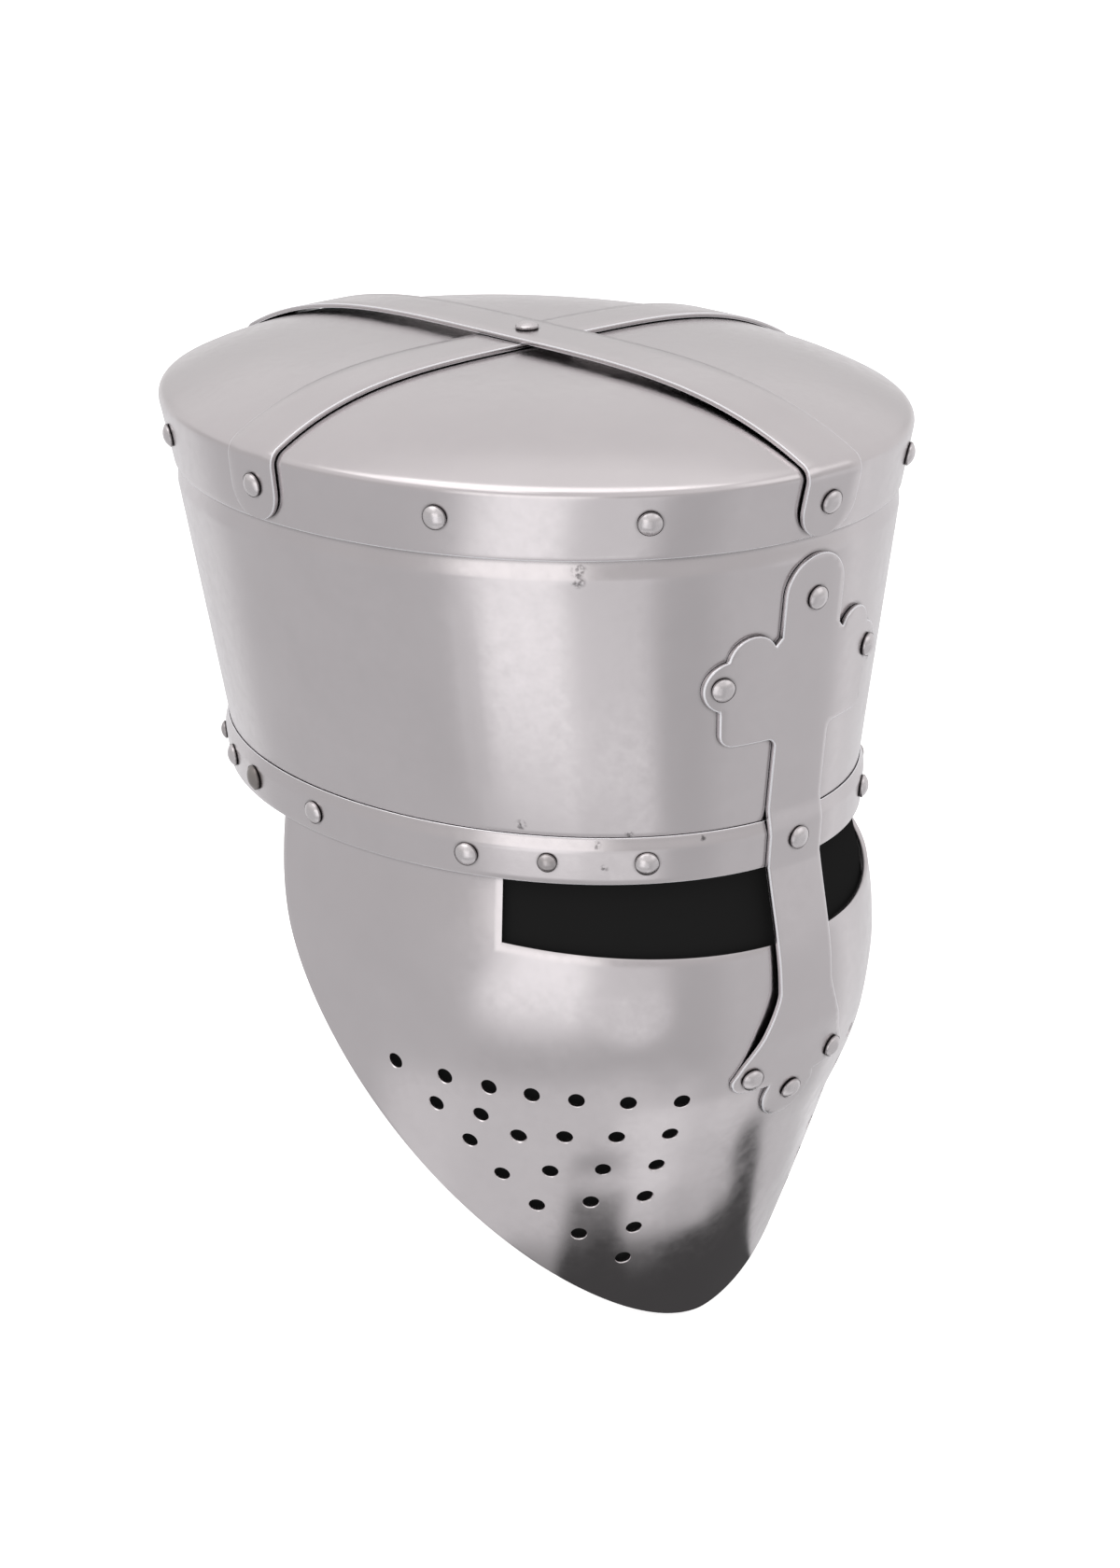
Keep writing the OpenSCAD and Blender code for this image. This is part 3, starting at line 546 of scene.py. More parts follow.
# Radius and height of the drill, whose shoulder countersinks the hole
drill = [(0, -8), (2.5, -8), (2.5, -0.5), (2.62, -0.2), (3.1, 0.35), (3.1, 1.5), (0, 1.5)]
cut_out(face_plate, solids("drills", turned(drill, spots_on(plate_level, breath_t, breath_z), 28)), 30)
fitted(face_plate, "face_plate", satin_sheet)


# Two crown straps of the same sheet cross over the dome. Each is bent down over the rim at both ends
# and riveted through a rounded tab. The long one, from brow to nape, lies on the cross strap.
strap_w = 22.0
strap_t = 1.6
strap_bend = 3.2
tab_end = 107.5


def strap_line(half, low_half, lift, power):
    """The strap's under side from its middle to one end, as points along and up: the dome's curve
    one seam above it, a parabola over the rim, and the straight tab."""
    r = np.linspace(0, 1 - strap_bend/half, 56)
    over = np.stack([half*r, crown_z(r, lift, power) + seam_gap], -1)
    z = np.linspace(rim_z - strap_bend, tab_end, 26)
    t = (z - flange_z)/flange_h
    tab = np.stack([lerp(low_half, half, t) + seam_gap, z], -1)
    corner = np.array([half + seam_gap, rim_z + seam_gap + 0.3])
    q = (np.arange(1, 12)/12)[:, None]
    bend = (1 - q)**2*over[-1] + 2*q*(1 - q)*corner + q**2*tab[0]
    return np.concatenate([over, bend, tab])


def strap_grid(end):
    """The strap's surface once round its width, at every point of its line from end to end. Its half
    width is constant, and a superellipse over the last 11 mm."""
    line = np.concatenate([end[:0:-1]*[-1, 1], end])
    way = np.gradient(line, axis=0)
    way /= np.linalg.norm(way, axis=-1, keepdims=True)
    normal = np.stack([-way[:, 1], way[:, 0]], -1)
    z_left = np.minimum(1, (line[:, 1] - tab_end)/(strap_w/2))
    in_tab = line[:, 1] < tab_end + strap_w/2
    half = np.where(in_tab, strap_w/2*(1 - (1 - z_left)**2.3)**(1/2.3), strap_w/2)
    w = np.array([-1, -0.5, 0, 0.5, 1])
    top = np.stack([half[:, None]*w, *(line + strap_t*normal).T[:, :, None] + 0*w], -1)
    low = np.stack([half[:, None]*w, *line.T[:, :, None] + 0*w], -1)
    return np.concatenate([top, low[:, ::-1]], 1)


# The long strap's dome is a little rounder, and its tabs follow the rim's shift to the back
long_end = strap_line(rim_size[1]/2, flange_size[1]/2, strap_t + 2*seam_gap, 3.8)
long_grid = strap_grid(long_end)
long_grid[..., 1] += rim_shift*np.clip((long_grid[..., 2] - flange_z)/flange_h, 0, 1)
long_strap = filed(skin("long_crown_strap", long_grid, False), bright=True)
fitted(long_strap, "crown_strap_long", satin_sheet)
cross_end = strap_line(rim_size[0]/2, flange_size[0]/2, seam_gap, crown_power)
cross_grid = strap_grid(cross_end)[..., [1, 0, 2]] + [0, rim_shift, 0]
cross_strap = filed(skin("cross_crown_strap", cross_grid, False), bright=True)
fitted(cross_strap, "crown_strap_cross", satin_sheet)


# The nasal cross is cut from one sheet: a cross with lobed ends on the drum, a bar that steps over the
# brow band and stands a little off the face plate before the sights, and a flared foot on the plate.
ramp_h = 4
# Depths below the brow, and how far the bar's under side stands off the plate there
nose_depth = np.array([0, 20, 44, 54, 67, 95])
nose_stand = np.array([1.9, 1.6, 1.9, 1.8, seam_gap, seam_gap])


def nasal_level(z):
    """The skin that the cross lies on: the drum, then a ramp to the brow band, then the face plate
    and the bar's own distance from it, which eases from each depth to the next."""
    z = np.asarray(z, float)
    step = band_h + ramp_h
    on_band = grown(band_level(np.clip(z, 0, bevel_z)), seam_gap + 0*z)
    on_drum = grown(drum_level(np.maximum(z, step)), seam_gap + 0*z)
    ramp = np.clip((z - bevel_z)/(step - bevel_z), 0, 1)
    d = np.clip(-z, 0, nose_depth[-1])
    i = np.clip(np.searchsorted(nose_depth, d, side="right") - 1, 0, len(nose_depth) - 2)
    share = (d - nose_depth[i])/(nose_depth[i + 1] - nose_depth[i])
    below = grown(plate_level(z), lerp(nose_stand[i], nose_stand[i + 1], ease(share)))
    return np.where(z > 0, lerp(on_band, on_drum, lerp(ramp, ease(ramp), 0.5)), below)


def arc(middle, r, start, end, n=12):
    """Points of an arc between two directions in degrees."""
    a = np.radians(np.linspace(start, end, n))
    return np.stack([middle[0] + r*np.cos(a), middle[1] + r*np.sin(a)], -1)


def crossing(c, r, d, q):
    """Where two circles cross, to the left of the way from the first's middle to the second's."""
    c, d = np.array(c), np.array(d)
    gap = np.linalg.norm(d - c)
    u = (d - c)/gap
    a = (gap*gap + r*r - q*q)/(2*gap)
    return c + a*u + math.sqrt(r*r - a*a)*np.array([-u[1], u[0]])


def facing(c, p):
    """Direction in degrees from one point to another."""
    return math.degrees(math.atan2(p[1] - c[1], p[0] - c[0]))


# The outline's right half, from the top down, as places across and heights: the head, an arm with two
# round lobes and a heel, the bar, and the foot, which flares to a round lobe and a round toe
half_span = 30.3
head_top, head_r = 101.5, 12.2
lobe_top, lobe_top_r = (half_span - 8.7, 70.9), 8
lobe_end, lobe_end_r = (half_span - 2.3, 63.5), 8.4
notch = crossing(lobe_top, lobe_top_r, lobe_end, lobe_end_r)
heel, heel_r = (half_span - 4.5, 48.0), 4.5
bar_half, bar_fillet = 11.3, 3
foot_half, foot_low = 24.5, -90.5
foot_lobe, foot_lobe_r = (foot_half - 5.2, foot_low + 20), 5.2
toe, toe_r = (0, foot_low + 10.6), 10.6
q = np.linspace(0, 1, 24)
flare_h, flare_power = 29, 1.25
flare = np.stack([lerp(bar_half, foot_half, q**flare_power), foot_lobe[1] + flare_h*(1 - q)], -1)
toe_start = math.degrees(math.asin((foot_lobe[1] - foot_lobe_r - toe[1])/toe_r))
half_outline = np.concatenate([
    arc((0, head_top - head_r), head_r, 90, 0, 22), [[head_r, 76.5]],
    arc(lobe_top, lobe_top_r, 155, facing(lobe_top, notch)),
    arc(lobe_end, lobe_end_r, facing(lobe_end, notch), -70, 18), arc(heel, heel_r, 0, -90, 9),
    arc((bar_half + bar_fillet, heel[1] - heel_r - bar_fillet), bar_fillet, 90, 180, 7), flare,
    arc(foot_lobe, foot_lobe_r, 0, -90, 10), arc(toe, toe_r, toe_start, -90, 12)])
outline = np.concatenate([half_outline, half_outline[-2:0:-1]*[-1, 1]])


def evenly(points, spacing):
    """A closed outline with points added so that none are further apart than the spacing."""
    nxt = np.roll(points, -1, 0)
    parts = np.maximum(1, np.ceil(np.linalg.norm(nxt - points, axis=1)/spacing).astype(int))
    start = np.repeat(np.arange(len(points)), parts)
    share = (np.arange(len(start)) - np.repeat(np.cumsum(parts) - parts, parts))/np.repeat(parts, parts)
    return lerp(points[start], nxt[start], share[:, None])


def inside(points, loop, margin):
    """Which points lie within an outline, further from it than a margin: counts how many sides a
    line to the right crosses."""
    a, b = loop, np.roll(loop, -1, 0)
    x, y = points[:, :1], points[:, 1:]
    spans = (a[:, 1] > y) != (b[:, 1] > y)
    reach = a[:, 0] + (y - a[:, 1])*(b[:, 0] - a[:, 0])/np.where(b[:, 1] == a[:, 1], 1, b[:, 1] - a[:, 1])
    within = (spans & (x < reach)).sum(1) % 2 == 1
    near = np.linalg.norm(points[:, None] - loop[None], axis=-1).min(1)
    return within & (near > margin)


outline = evenly(outline, 1.2)
gx, gz = np.meshgrid(np.arange(-30, 31, 1.8), np.arange(-90, 102, 1.8))
filling = np.stack([gx.ravel(), gz.ravel()], -1)
filling = filling[inside(filling, outline, 1.0)]
flat = np.concatenate([outline, filling])
loop_edges = [(i, (i + 1) % len(outline)) for i in range(len(outline))]
vertices, _, faces, *_ = delaunay_2d_cdt(flat.tolist(), loop_edges, [], 1, 1e-6)
flat = np.array([v[:] for v in vertices])
faces = np.array(faces)


def wrapped(flat, out):
    """Points of a flat shape laid on the nasal skin: each keeps its place across and its height."""
    level = grown(nasal_level(flat[:, 1]), out + 0*flat[:, 1])
    return on(level, np.arcsin(flat[:, 0]/level[0]), flat[:, 1])


# The rim is the edges that no second triangle runs along the other way, and a wall stands on it
count = len(flat)
borders = np.concatenate([faces[:, [0, 1]], faces[:, [1, 2]], faces[:, [2, 0]]])
rim_edges = borders[~np.isin(borders @ [count, 1], borders @ [1, count])]
start, end = rim_edges.T
walls = np.concatenate([np.stack([end, start, start + count], -1),
                        np.stack([end, start + count, end + count], -1)])
cross_points = np.concatenate([wrapped(flat, sheet_t), wrapped(flat, 0)])
cross_faces = np.concatenate([faces, faces[:, ::-1] + count, walls])
nasal = filed(mesh_object("nasal_cross_sheet", cross_points, cross_faces), width=0.4, bright=True)
fitted(nasal, "nasal_cross", satin_sheet)


# The rivets are hand set, domed outside over a round shank, and clenched to a flat tail inside.
# Buffing polished their tops. No two are quite alike.
head_d, head_h, shank_r = 7.6, 2.6, 2.0
chance = np.random.default_rng(14)
uneven_share = 0.06
# Thickness under a head on the brow band: the band, the drum and the face plate, then the liner
liner_t = 2.2
brow_grip = 3*lap + liner_t


def rivet_profile(grip, d=head_d, h=head_h):
    """Radii and heights from the head's top, over a spherical dome and a short rim, down the shank
    and round the tail."""
    rim = 0.3*h
    dome = h - rim
    ball = (d*d/4 + dome*dome)/(2*dome)
    lift = np.linspace(0, 1, 10)[:-1]
    r = d/2*np.sin(lift*math.pi/2)
    cap = np.stack([r, h - ball + np.sqrt(ball*ball - r*r)], -1)
    return np.concatenate([cap, [
        (d/2 - 0.04, rim + 0.22), (d/2, rim - 0.1), (d/2 - 0.05, 0.25), (d/2 - 0.25, 0.02), (shank_r, 0),
        (shank_r, -grip - 0.3), (2.8, -grip - 0.32), (3, -grip - 0.5), (2.9, -grip - 0.95),
        (2.3, -grip - 1.3), (1.2, -grip - 1.45), (0, -grip - 1.5)]])


def hand_set(count):
    """Unevenness of hand-set heads: each has its own size, flats and lean, worked out from a few waves."""
    size, tall, phase, lean, lean_way = chance.random((5, count, 1, 1))

    def uneven(r, h, a):
        """Radii and heights of the heads alone, changed round their angle."""
        top = np.clip(h/head_h, 0, 1)
        flats = 0.5*np.sin(2*a + 6.3*phase) + 0.5*np.sin(3*a + 9*lean_way)
        r = r*(1 + top*uneven_share*(0.5*flats + 0.7*(size - 0.7)))
        slant = lean*0.3*np.cos(a - 6.3*lean_way)*r/head_d
        return r, h*(1 - 1.6*uneven_share*top*tall) + top*slant
    return uneven


# Rivet steel buffed bright on top, with the steel's painted shade darkening the foot of each head
bright_rivet = steel("buffed_rivet_steel", "#dcd8d9", "#cbc6c7", 0.2, 0.33, 0.2, 0.012)
# The same steel as it came off the hammer
plain_rivet = steel("unpolished_rivet_steel", "#c4bfbf", "#aaa5a5", 0.28, 0.4, 0.25, 0.02)
# The same steel without the buffing, oiled and a little tarnished
dull_rivet = steel("tarnished_rivet_steel", "#a29d9a", "#86807d", 0.3, 0.44, 0.25, 0.02)


def studs(name, node, *groups, slot="rivet_steel", material=bright_rivet, body="helmet"):
    """Rivets as one piece, from groups of spots and the profile of the rivets on them."""
    grids = [turned(profile, spots, 32, hand_set(len(spots[0]))) for spots, profile in groups]
    return fitted(solids(name, np.concatenate(grids), 50), node, material, body)


def upright(z):
    """A spot on the helmet's middle line that faces up, but for a hair, so that turned() finds its sides."""
    return np.array([[0, 0, z]]), np.array([[0, 1e-4, 1.0]])


# Heights of the rivets on the flange, on the brow band, and on the cross's arms and head
rivet_z = flange_z + 11.9
band_rivet_z = 7.2
arm_z, head_z = lobe_end[1], 87.5
on_flange = np.radians([-150, -120, -60, -30, 30, 60, 120, 150])
flange_spots = spots_on(flange_level, on_flange, rivet_z)
studs("crown_flange_rivets", "flange_rivets", (flange_spots, rivet_profile(2*lap)))
tab_spots = spots_on(flange_level, np.radians([0, 90, 180, 270]), rivet_z, strap_t + seam_gap)
studs("strap_tab_rivets", "strap_end_rivets", (tab_spots, rivet_profile(3*lap)))
crown_grip = sheet_t + 2*strap_t + 3*seam_gap
studs("crown_middle_rivet", "crown_rivet",
      (upright(rim_z + crown_rise + 2*strap_t + 3*seam_gap), rivet_profile(crown_grip)))
on_band = np.radians([a for a in range(-150, 181, 30) if a])
brow_spots = spots_on(band_level, on_band, band_rivet_z)
studs("brow_band_rivets", "brow_rivets", (brow_spots, rivet_profile(brow_grip)))
arm_t = math.asin(half_span/nasal_level(arm_z)[0])
drum_spots = spots_on(nasal_level, [-arm_t, arm_t, 0], [arm_z, arm_z, head_z], sheet_t)
bar_spot = spots_on(band_level, [0.0], [band_rivet_z + 0.9], sheet_t + seam_gap)
studs("nasal_cross_rivets", "cross_rivets",
      (drum_spots, rivet_profile(2*lap)), (bar_spot, rivet_profile(lap + brow_grip)))
foot_z = foot_low + 20.5
foot_t = math.asin((foot_half - 7)/nasal_level(foot_z)[0])
foot_spots = spots_on(nasal_level, [-foot_t, foot_t, 0], [foot_z, foot_z, foot_z - 9], sheet_t)
studs("nasal_foot_rivets", "foot_rivets", (foot_spots, rivet_profile(2*lap)))
liner_spots = spots_on(band_level, np.radians([-133, -46.6, 46.6, 133]), band_rivet_z)
studs("liner_holding_rivets", "liner_rivets", (liner_spots, rivet_profile(brow_grip, head_d - 1.4, 2.3)),
      slot="dull_steel", material=plain_rivet)
# The chin strap's leather and its gap to the liner, both under the heads of its rivets
chin_angle = math.radians(108.5)
chin_gap, chin_t = 0.5, 2.4
chin_spots = spots_on(band_level, [-chin_angle, chin_angle], [band_rivet_z]*2)
studs("chin_strap_rivets", "chin_rivets",
      (chin_spots, rivet_profile(brow_grip + chin_gap + chin_t, head_d + 0.8)),
      slot="dull_steel", material=dull_rivet)


# The liner is a band of vegetable-tanned leather riveted inside the brow, with eight tongues sewn to it.
# The tongues rise over the head to a round patch.
pore_depth = 0.12


def leather(name, light, dark):
    """Vegetable-tanned cowhide: two browns in clouds, creases of 4 mm, and a soft sheen. The real pores
    are 0.2 mm and can't show, so they are drawn at 1.5 mm."""
    material = bpy.data.materials.new(name)
    tree = blank_tree(material)
    place = add_node(tree, "ShaderNodeTexCoord").outputs["Object"]
    clouds = add_node(tree, "ShaderNodeTexNoise", {"Vector": place, "Scale": 60, "Detail": 5})
    colour = add_node(tree, "ShaderNodeMix", {0: clouds.outputs["Fac"], 6: tone(light), 7: tone(dark)},
                      data_type="RGBA")
    pores = add_node(tree, "ShaderNodeTexVoronoi", {"Vector": place, "Scale": 650},
                     feature="DISTANCE_TO_EDGE")
    creases = add_node(tree, "ShaderNodeTexNoise", {"Vector": place, "Scale": 240, "Detail": 6})
    pored = add_node(tree, "ShaderNodeBump", {
        "Height": pores.outputs["Distance"], "Strength": 0.6, "Distance": pore_depth*MM})
    creased = add_node(tree, "ShaderNodeBump", {
        "Height": creases.outputs["Fac"], "Strength": 0.8, "Distance": 3*pore_depth*MM,
        "Normal": pored.outputs["Normal"]})
    worn = add_node(tree, "ShaderNodeMapRange", {
        "Value": clouds.outputs["Fac"], "To Min": 0.45, "To Max": 0.68})
    shader = add_node(tree, "ShaderNodeBsdfPrincipled", {
        "Base Color": colour.outputs[2], "Roughness": worn.outputs["Result"],
        "Normal": creased.outputs["Normal"]})
    add_node(tree, "ShaderNodeOutputMaterial", {"Surface": shader.outputs["BSDF"]})
    return material


tanned = leather("tanned_cowhide", "#7d5433", "#5c3a20")


def liner_level(z):
    """The liner's outer side: one sheet inside the tucked rim, easing out to one sheet inside the drum."""
    z = np.asarray(z, float)
    low = grown(plate_level(z), -2*lap + 0*z)
    up = grown(drum_level(z), -lap + 0*z)
    return lerp(low, up, ease((z - bevel_z)/(band_h - bevel_z + 3)))


ring_z = np.concatenate([np.linspace(2, bevel_z, 6), np.linspace(12, 20, 8), np.linspace(22, 34, 6)])[:, None]
ring_level = liner_level(ring_z)
ring_grid = hoop(ring_level, grown(ring_level, -liner_t + 0*ring_z), ring_z)
ring = filed(skin("liner_brow_band", ring_grid), width=0.6)
fitted(ring, "liner_band", tanned)

tongue_t = 1.6
root_z, bend_z, liner_top = 20, 34, 92.0
patch_r, patch_lap = 23.0, 8
tongue_root = grown(liner_level(root_z), -liner_t - 0.05)


def tongue(t):
    """One tongue: its line rises from the band in a quarter of an ellipse to the patch, and its width
    narrows on the way. Its outer side comes first, then its inner side back."""
    u = np.radians(np.linspace(0, 90, 25))[:, None]
    over = patch_r/tongue_root[0]
    tip = over - patch_lap/tongue_root[0]
    r = lerp(over, 1, np.cos(u))
    w = np.radians(22.5)*lerp(0.86, 0.4, u/u[-1])
    k = np.linspace(-1, 1, 9)[None, :]
    z = lerp(bend_z, liner_top, np.sin(u))
    root = root_z + 0*z[:1]
    level = np.stack([tongue_root[0]*r, tongue_root[1]*r, 0*r])
    tip_level = oval(tongue_root[0]*tip, tongue_root[1]*tip, 0, z[:1])
    outer = np.concatenate([on(level[:, :1], t + w[:1]*k, root), on(level, t + w*k, z + tongue_t*np.sin(u)),
                            on(tip_level, t + w[-1:]*k, z[-1:] + tongue_t)])
    inner = np.concatenate([on(grown(level[:, :1], -tongue_t + 0*z[:1]), t + w[:1]*k, root),
                            on(grown(level, -tongue_t*np.cos(u)), t + w*k, z),
                            on(tip_level, t + w[-1:]*k, z[-1:])])
    return np.concatenate([outer, inner[:, ::-1]], 1)


def joined(pieces):
    """One piece of several, which keeps the first's name."""
    with bpy.context.temp_override(active_object=pieces[0], selected_editable_objects=pieces):
        bpy.ops.object.join()
    return pieces[0]


tongues = joined([skin("tongue", tongue(math.radians(45*(i + 0.5))), False) for i in range(8)])
tongues.name = "liner_tongue_set"
filed(tongues, width=0.5)
fitted(tongues, "liner_tongues", tanned)
# The patch's edge is softened by wear over 0.7 mm
patch_profile = [(0, 0), (patch_r - 0.7, 0), (patch_r - 0.15, -0.3), (patch_r, -liner_t/2),
                 (patch_r - 0.15, 0.3 - liner_t), (patch_r - 0.7, -liner_t), (0, -liner_t)]
patch = solids("liner_top_patch", turned(patch_profile, upright(liner_top - 0.05), 64))
fitted(patch, "liner_patch", tanned)


# The chin strap's halves are leather straps on one rivet each. At rest both lie folded up inside the brow.
# The right half is doubled back round the buckle's bar and riveted, with a slot for the prong.
chin_w, chin_l = 18.0, 160
wire_d, buckle_l = 2.8, 16.0
# The strap leans as the brow band does at its rivet. The lean and the height there are rounded, so that
# the holes are cut the same way on every machine.
chin_lean = round(float(chin_spots[1][1, 2]), 7)
chin_z = round(band_rivet_z - chin_lean*(brow_grip + chin_gap + chin_t/2), 5)
chin_oval = grown(liner_level(np.array(chin_z)), np.array(-liner_t - chin_gap))
walk_t = np.linspace(chin_angle, -math.pi/3, 4000)
walk_way = on(chin_oval, walk_t, 0.0)
walked = np.concatenate([[0], np.cumsum(np.linalg.norm(np.diff(walk_way, axis=0), axis=1))])


def chin_line(side, s):
    """Points of a strap half's middle line at lengths from its rivet, and the directions square to it:
    it follows the liner, leaves it by 3.6 mm in its first 34 mm, and leans as the brow band does."""
    s = np.asarray(s, float)
    t = side*np.interp(s, walked, walk_t)
    one = np.radians(1)
    way = on(chin_oval, t + one, 0*s) - on(chin_oval, t - one, 0*s)
    n = np.cross(way, [0, 0, 1.0])
    n = n/np.linalg.norm(n, axis=-1, keepdims=True)*math.sqrt(1 - chin_lean**2) + [0, 0, chin_lean]
    p = on(grown(chin_oval.reshape(3, *[1]*s.ndim) + 0*s, -3.6*ease(s/34)), t, chin_z)
    return p - n*chin_t/2, n


def chin_run(side, s):
    """The same, with the line run straight on where the lengths are less than nothing."""
    line, normal = chin_line(side, np.maximum(s, 0))
    ahead = chin_line(side, 1.0)[0] - chin_line(side, 0.0)[0]
    return line + np.minimum(s, 0)[:, None]*(ahead/np.linalg.norm(ahead)), normal


def chin_axes(at, start, end):
    """The right half at one length: its line's point, the way along between two other lengths, the way
    across, and the normal."""
    middle, n = chin_line(-1, at)
    way = chin_line(-1, end)[0] - chin_line(-1, start)[0]
    way = way - n*(way @ n)
    way /= np.linalg.norm(way)
    return middle, way, np.cross(n, way), n


def strap_solid(name, line, normal, thick, half, crowned=0.12):
    """A strap along a line, square to its normals. Its sides are softly crowned: half the thickness
    loses a share of itself times the sixth power of the way out to the edge."""
    side = np.cross(normal, np.gradient(line, axis=0))
    side /= np.linalg.norm(side, axis=-1, keepdims=True)
    w = np.linspace(-1, 1, 9)
    flat = side[:, None]*(half[:, None]*w)[..., None]
    up = normal[:, None]*(thick[:, None]/2*(1 - crowned*np.abs(w)**6))[..., None]
    top, low = line[:, None] + flat + up, line[:, None] + flat - up
    return skin(name, np.concatenate([top, low[:, ::-1]], 1), False)


end_r = (chin_w - 0.4)/2


def chin_half(s, end=math.inf):
    """Half width of a strap half at lengths from its rivet: constant, and a half round at each end."""
    a = np.clip((s + end_r)/end_r, 0, 1)
    b = np.clip((end + end_r - s)/end_r, 0, 1)
    ends = end_r*np.sqrt(1 - (1 - a)**2)*np.sqrt(1 - (1 - b)**2)
    return np.where((s > 0.5) & (s < end - 0.5), chin_w/2, ends)


fine = end_r*(1 - np.cos(np.radians(np.arange(0, 91, 9))))
s_left = np.concatenate([fine - end_r, np.linspace(1, chin_l - 1, 80), chin_l + end_r - fine[::-1]])
left_half = strap_solid("chin_strap_tongue_half", *chin_run(1, s_left), 0*s_left + chin_t,
                        chin_half(s_left, chin_l))
filed(left_half, width=0.5)
# Five holes 14 mm apart, the last 12 mm from where the end rounds
hole_spots = chin_line(1, chin_l - 12 - 14*np.arange(5.0))
cut_out(left_half, solids("punches", turned([(0, -4), (2, -4), (2, 4), (0, 4)], hole_spots, 28)))
fitted(left_half, "chin_strap_left", tanned, "left_strap")

# The fold's two layers, and its bend round the bar, which is skived thinner
fold_s = 66.5
fold_t, bend_t = 0.9*chin_t, 1.8
fold_r = (wire_d + 0.3)/2 + bend_t/2
bar_middle, bar_way, bar_axis, bar_n = chin_axes(68 + wire_d/2 + 0.4, 68.0, 69.0)
bar_middle = bar_middle - bar_n*fold_t/2
s_out = np.concatenate([fine - end_r, np.linspace(1, fold_s, 38)])
out_line, out_n = chin_run(-1, s_out)
q = np.radians(np.linspace(75, -75, 13))[:, None]
bend_n = np.sin(q)*bar_n + np.cos(q)*bar_way
s_in = np.linspace(fold_s, 33, 20)
in_line, in_n = chin_line(-1, s_in)
in_line = in_line - in_n*(chin_t + fold_t - 0.15)/2
fold_line = np.concatenate([out_line, bar_middle + fold_r*bend_n, in_line])
fold_n = np.concatenate([out_n, bend_n, -in_n])
thick = np.concatenate([0*s_out + chin_t, 0*q[:, 0] + bend_t, 0*s_in + fold_t - 0.2])
half = np.concatenate([chin_half(s_out), 0*q[:, 0] + chin_w/2 - 0.3, 0*s_in + chin_w/2])
right_half = strap_solid("chin_strap_buckle_half", fold_line, fold_n, thick, half, 0.1)
filed(right_half, width=0.45)
slot_box = np.array([[x, y, z] for x in (-2.1, 2.1) for y in (-6.5, 6.0) for z in (-8, 8)])
slot_points = bar_middle + slot_box @ np.stack([bar_axis, bar_way, bar_n])
slot_faces = [[0, 1, 3, 2], [4, 6, 7, 5], [0, 4, 5, 1], [2, 3, 7, 6], [0, 2, 6, 4], [1, 5, 7, 3]]
cut_out(right_half, mesh_object("slot_cutter", slot_points, slot_faces))
fitted(right_half, "chin_strap_right", tanned, "right_strap")


# The keeper is a leather loop sewn round the doubled strap, with room for the tongue half's tail.
keeper_t, keeper_w = 1.8, 8
keeper_middle, keeper_way, keeper_side, keeper_n = chin_axes(53.0, 52.5, 53.5)
room = 2*chin_t + fold_t + 1
keeper_middle = keeper_middle + keeper_n*(chin_t/2 + 0.3 - room/2)


def round_box(half_a, half_b, r, n=8):
    """Closed loop of a box with round corners."""
    a, b = half_a - r, half_b - r
    corners = [(a, b, 0), (-a, b, 90), (-a, -b, 180), (a, -b, 270)]
    return np.concatenate([arc((x, y), r, start, start + 90, n) for x, y, start in corners])


loop_in = round_box((chin_w + 0.8)/2, room/2, 1.2)
loop_out = round_box((chin_w + 0.8)/2 + keeper_t, room/2 + keeper_t, 2.6)
section = [(loop_out, -keeper_w/2), (loop_out, keeper_w/2), (loop_in, keeper_w/2), (loop_in, -keeper_w/2)]
keeper_grid = np.stack([keeper_middle + loop[:, :1]*keeper_side + loop[:, 1:]*keeper_n + y*keeper_way
                        for loop, y in section])
keeper = solids("strap_keeper_loop", np.concatenate([keeper_grid, keeper_grid[:1]])[None])
filed(keeper, width=0.45)
fitted(keeper, "strap_keeper", tanned, "right_strap")
fold_spot, fold_spot_n = chin_line(-1, 41.0)
fold_spot = fold_spot - fold_spot_n*(fold_t + chin_t/2 + 0.2)
studs("fold_holding_rivet", "fold_rivet",
      ((fold_spot[None], -fold_spot_n[None]), rivet_profile(chin_t + fold_t + 0.2, 6, 1.4)),
      slot="dull_steel", material=dull_rivet, body="right_strap")


# The buckle is steel wire bent to a frame, its prong a smaller wire looped round the same bar.
# At rest both lean in from the liner by a few degrees.
lean = math.radians(6)
bar_way, bar_n = (math.cos(lean)*bar_way - math.sin(lean)*bar_n,
                  math.cos(lean)*bar_n + math.sin(lean)*bar_way)
wire_loop = round_box(chin_w/2 + 1 + wire_d/2, buckle_l/2, 2.2, 10)
wire_line = bar_middle + wire_loop[:, :1]*bar_axis + (wire_loop[:, 1:] + buckle_l/2)*bar_way
wire_way = np.roll(wire_line, -1, 0) - np.roll(wire_line, 1, 0)
wire_way /= np.linalg.norm(wire_way, axis=-1, keepdims=True)
wire_out = np.cross(wire_way, bar_n)
a = np.linspace(0, 2*math.pi, 16, endpoint=False)[None, :, None]
wire_grid = wire_line[:, None] + wire_d/2*(np.cos(a)*wire_out[:, None] + np.sin(a)*bar_n)
buckle = skin("buckle_wire_frame", wire_grid)
fitted(buckle, "buckle_frame", dull_rivet, "buckle")

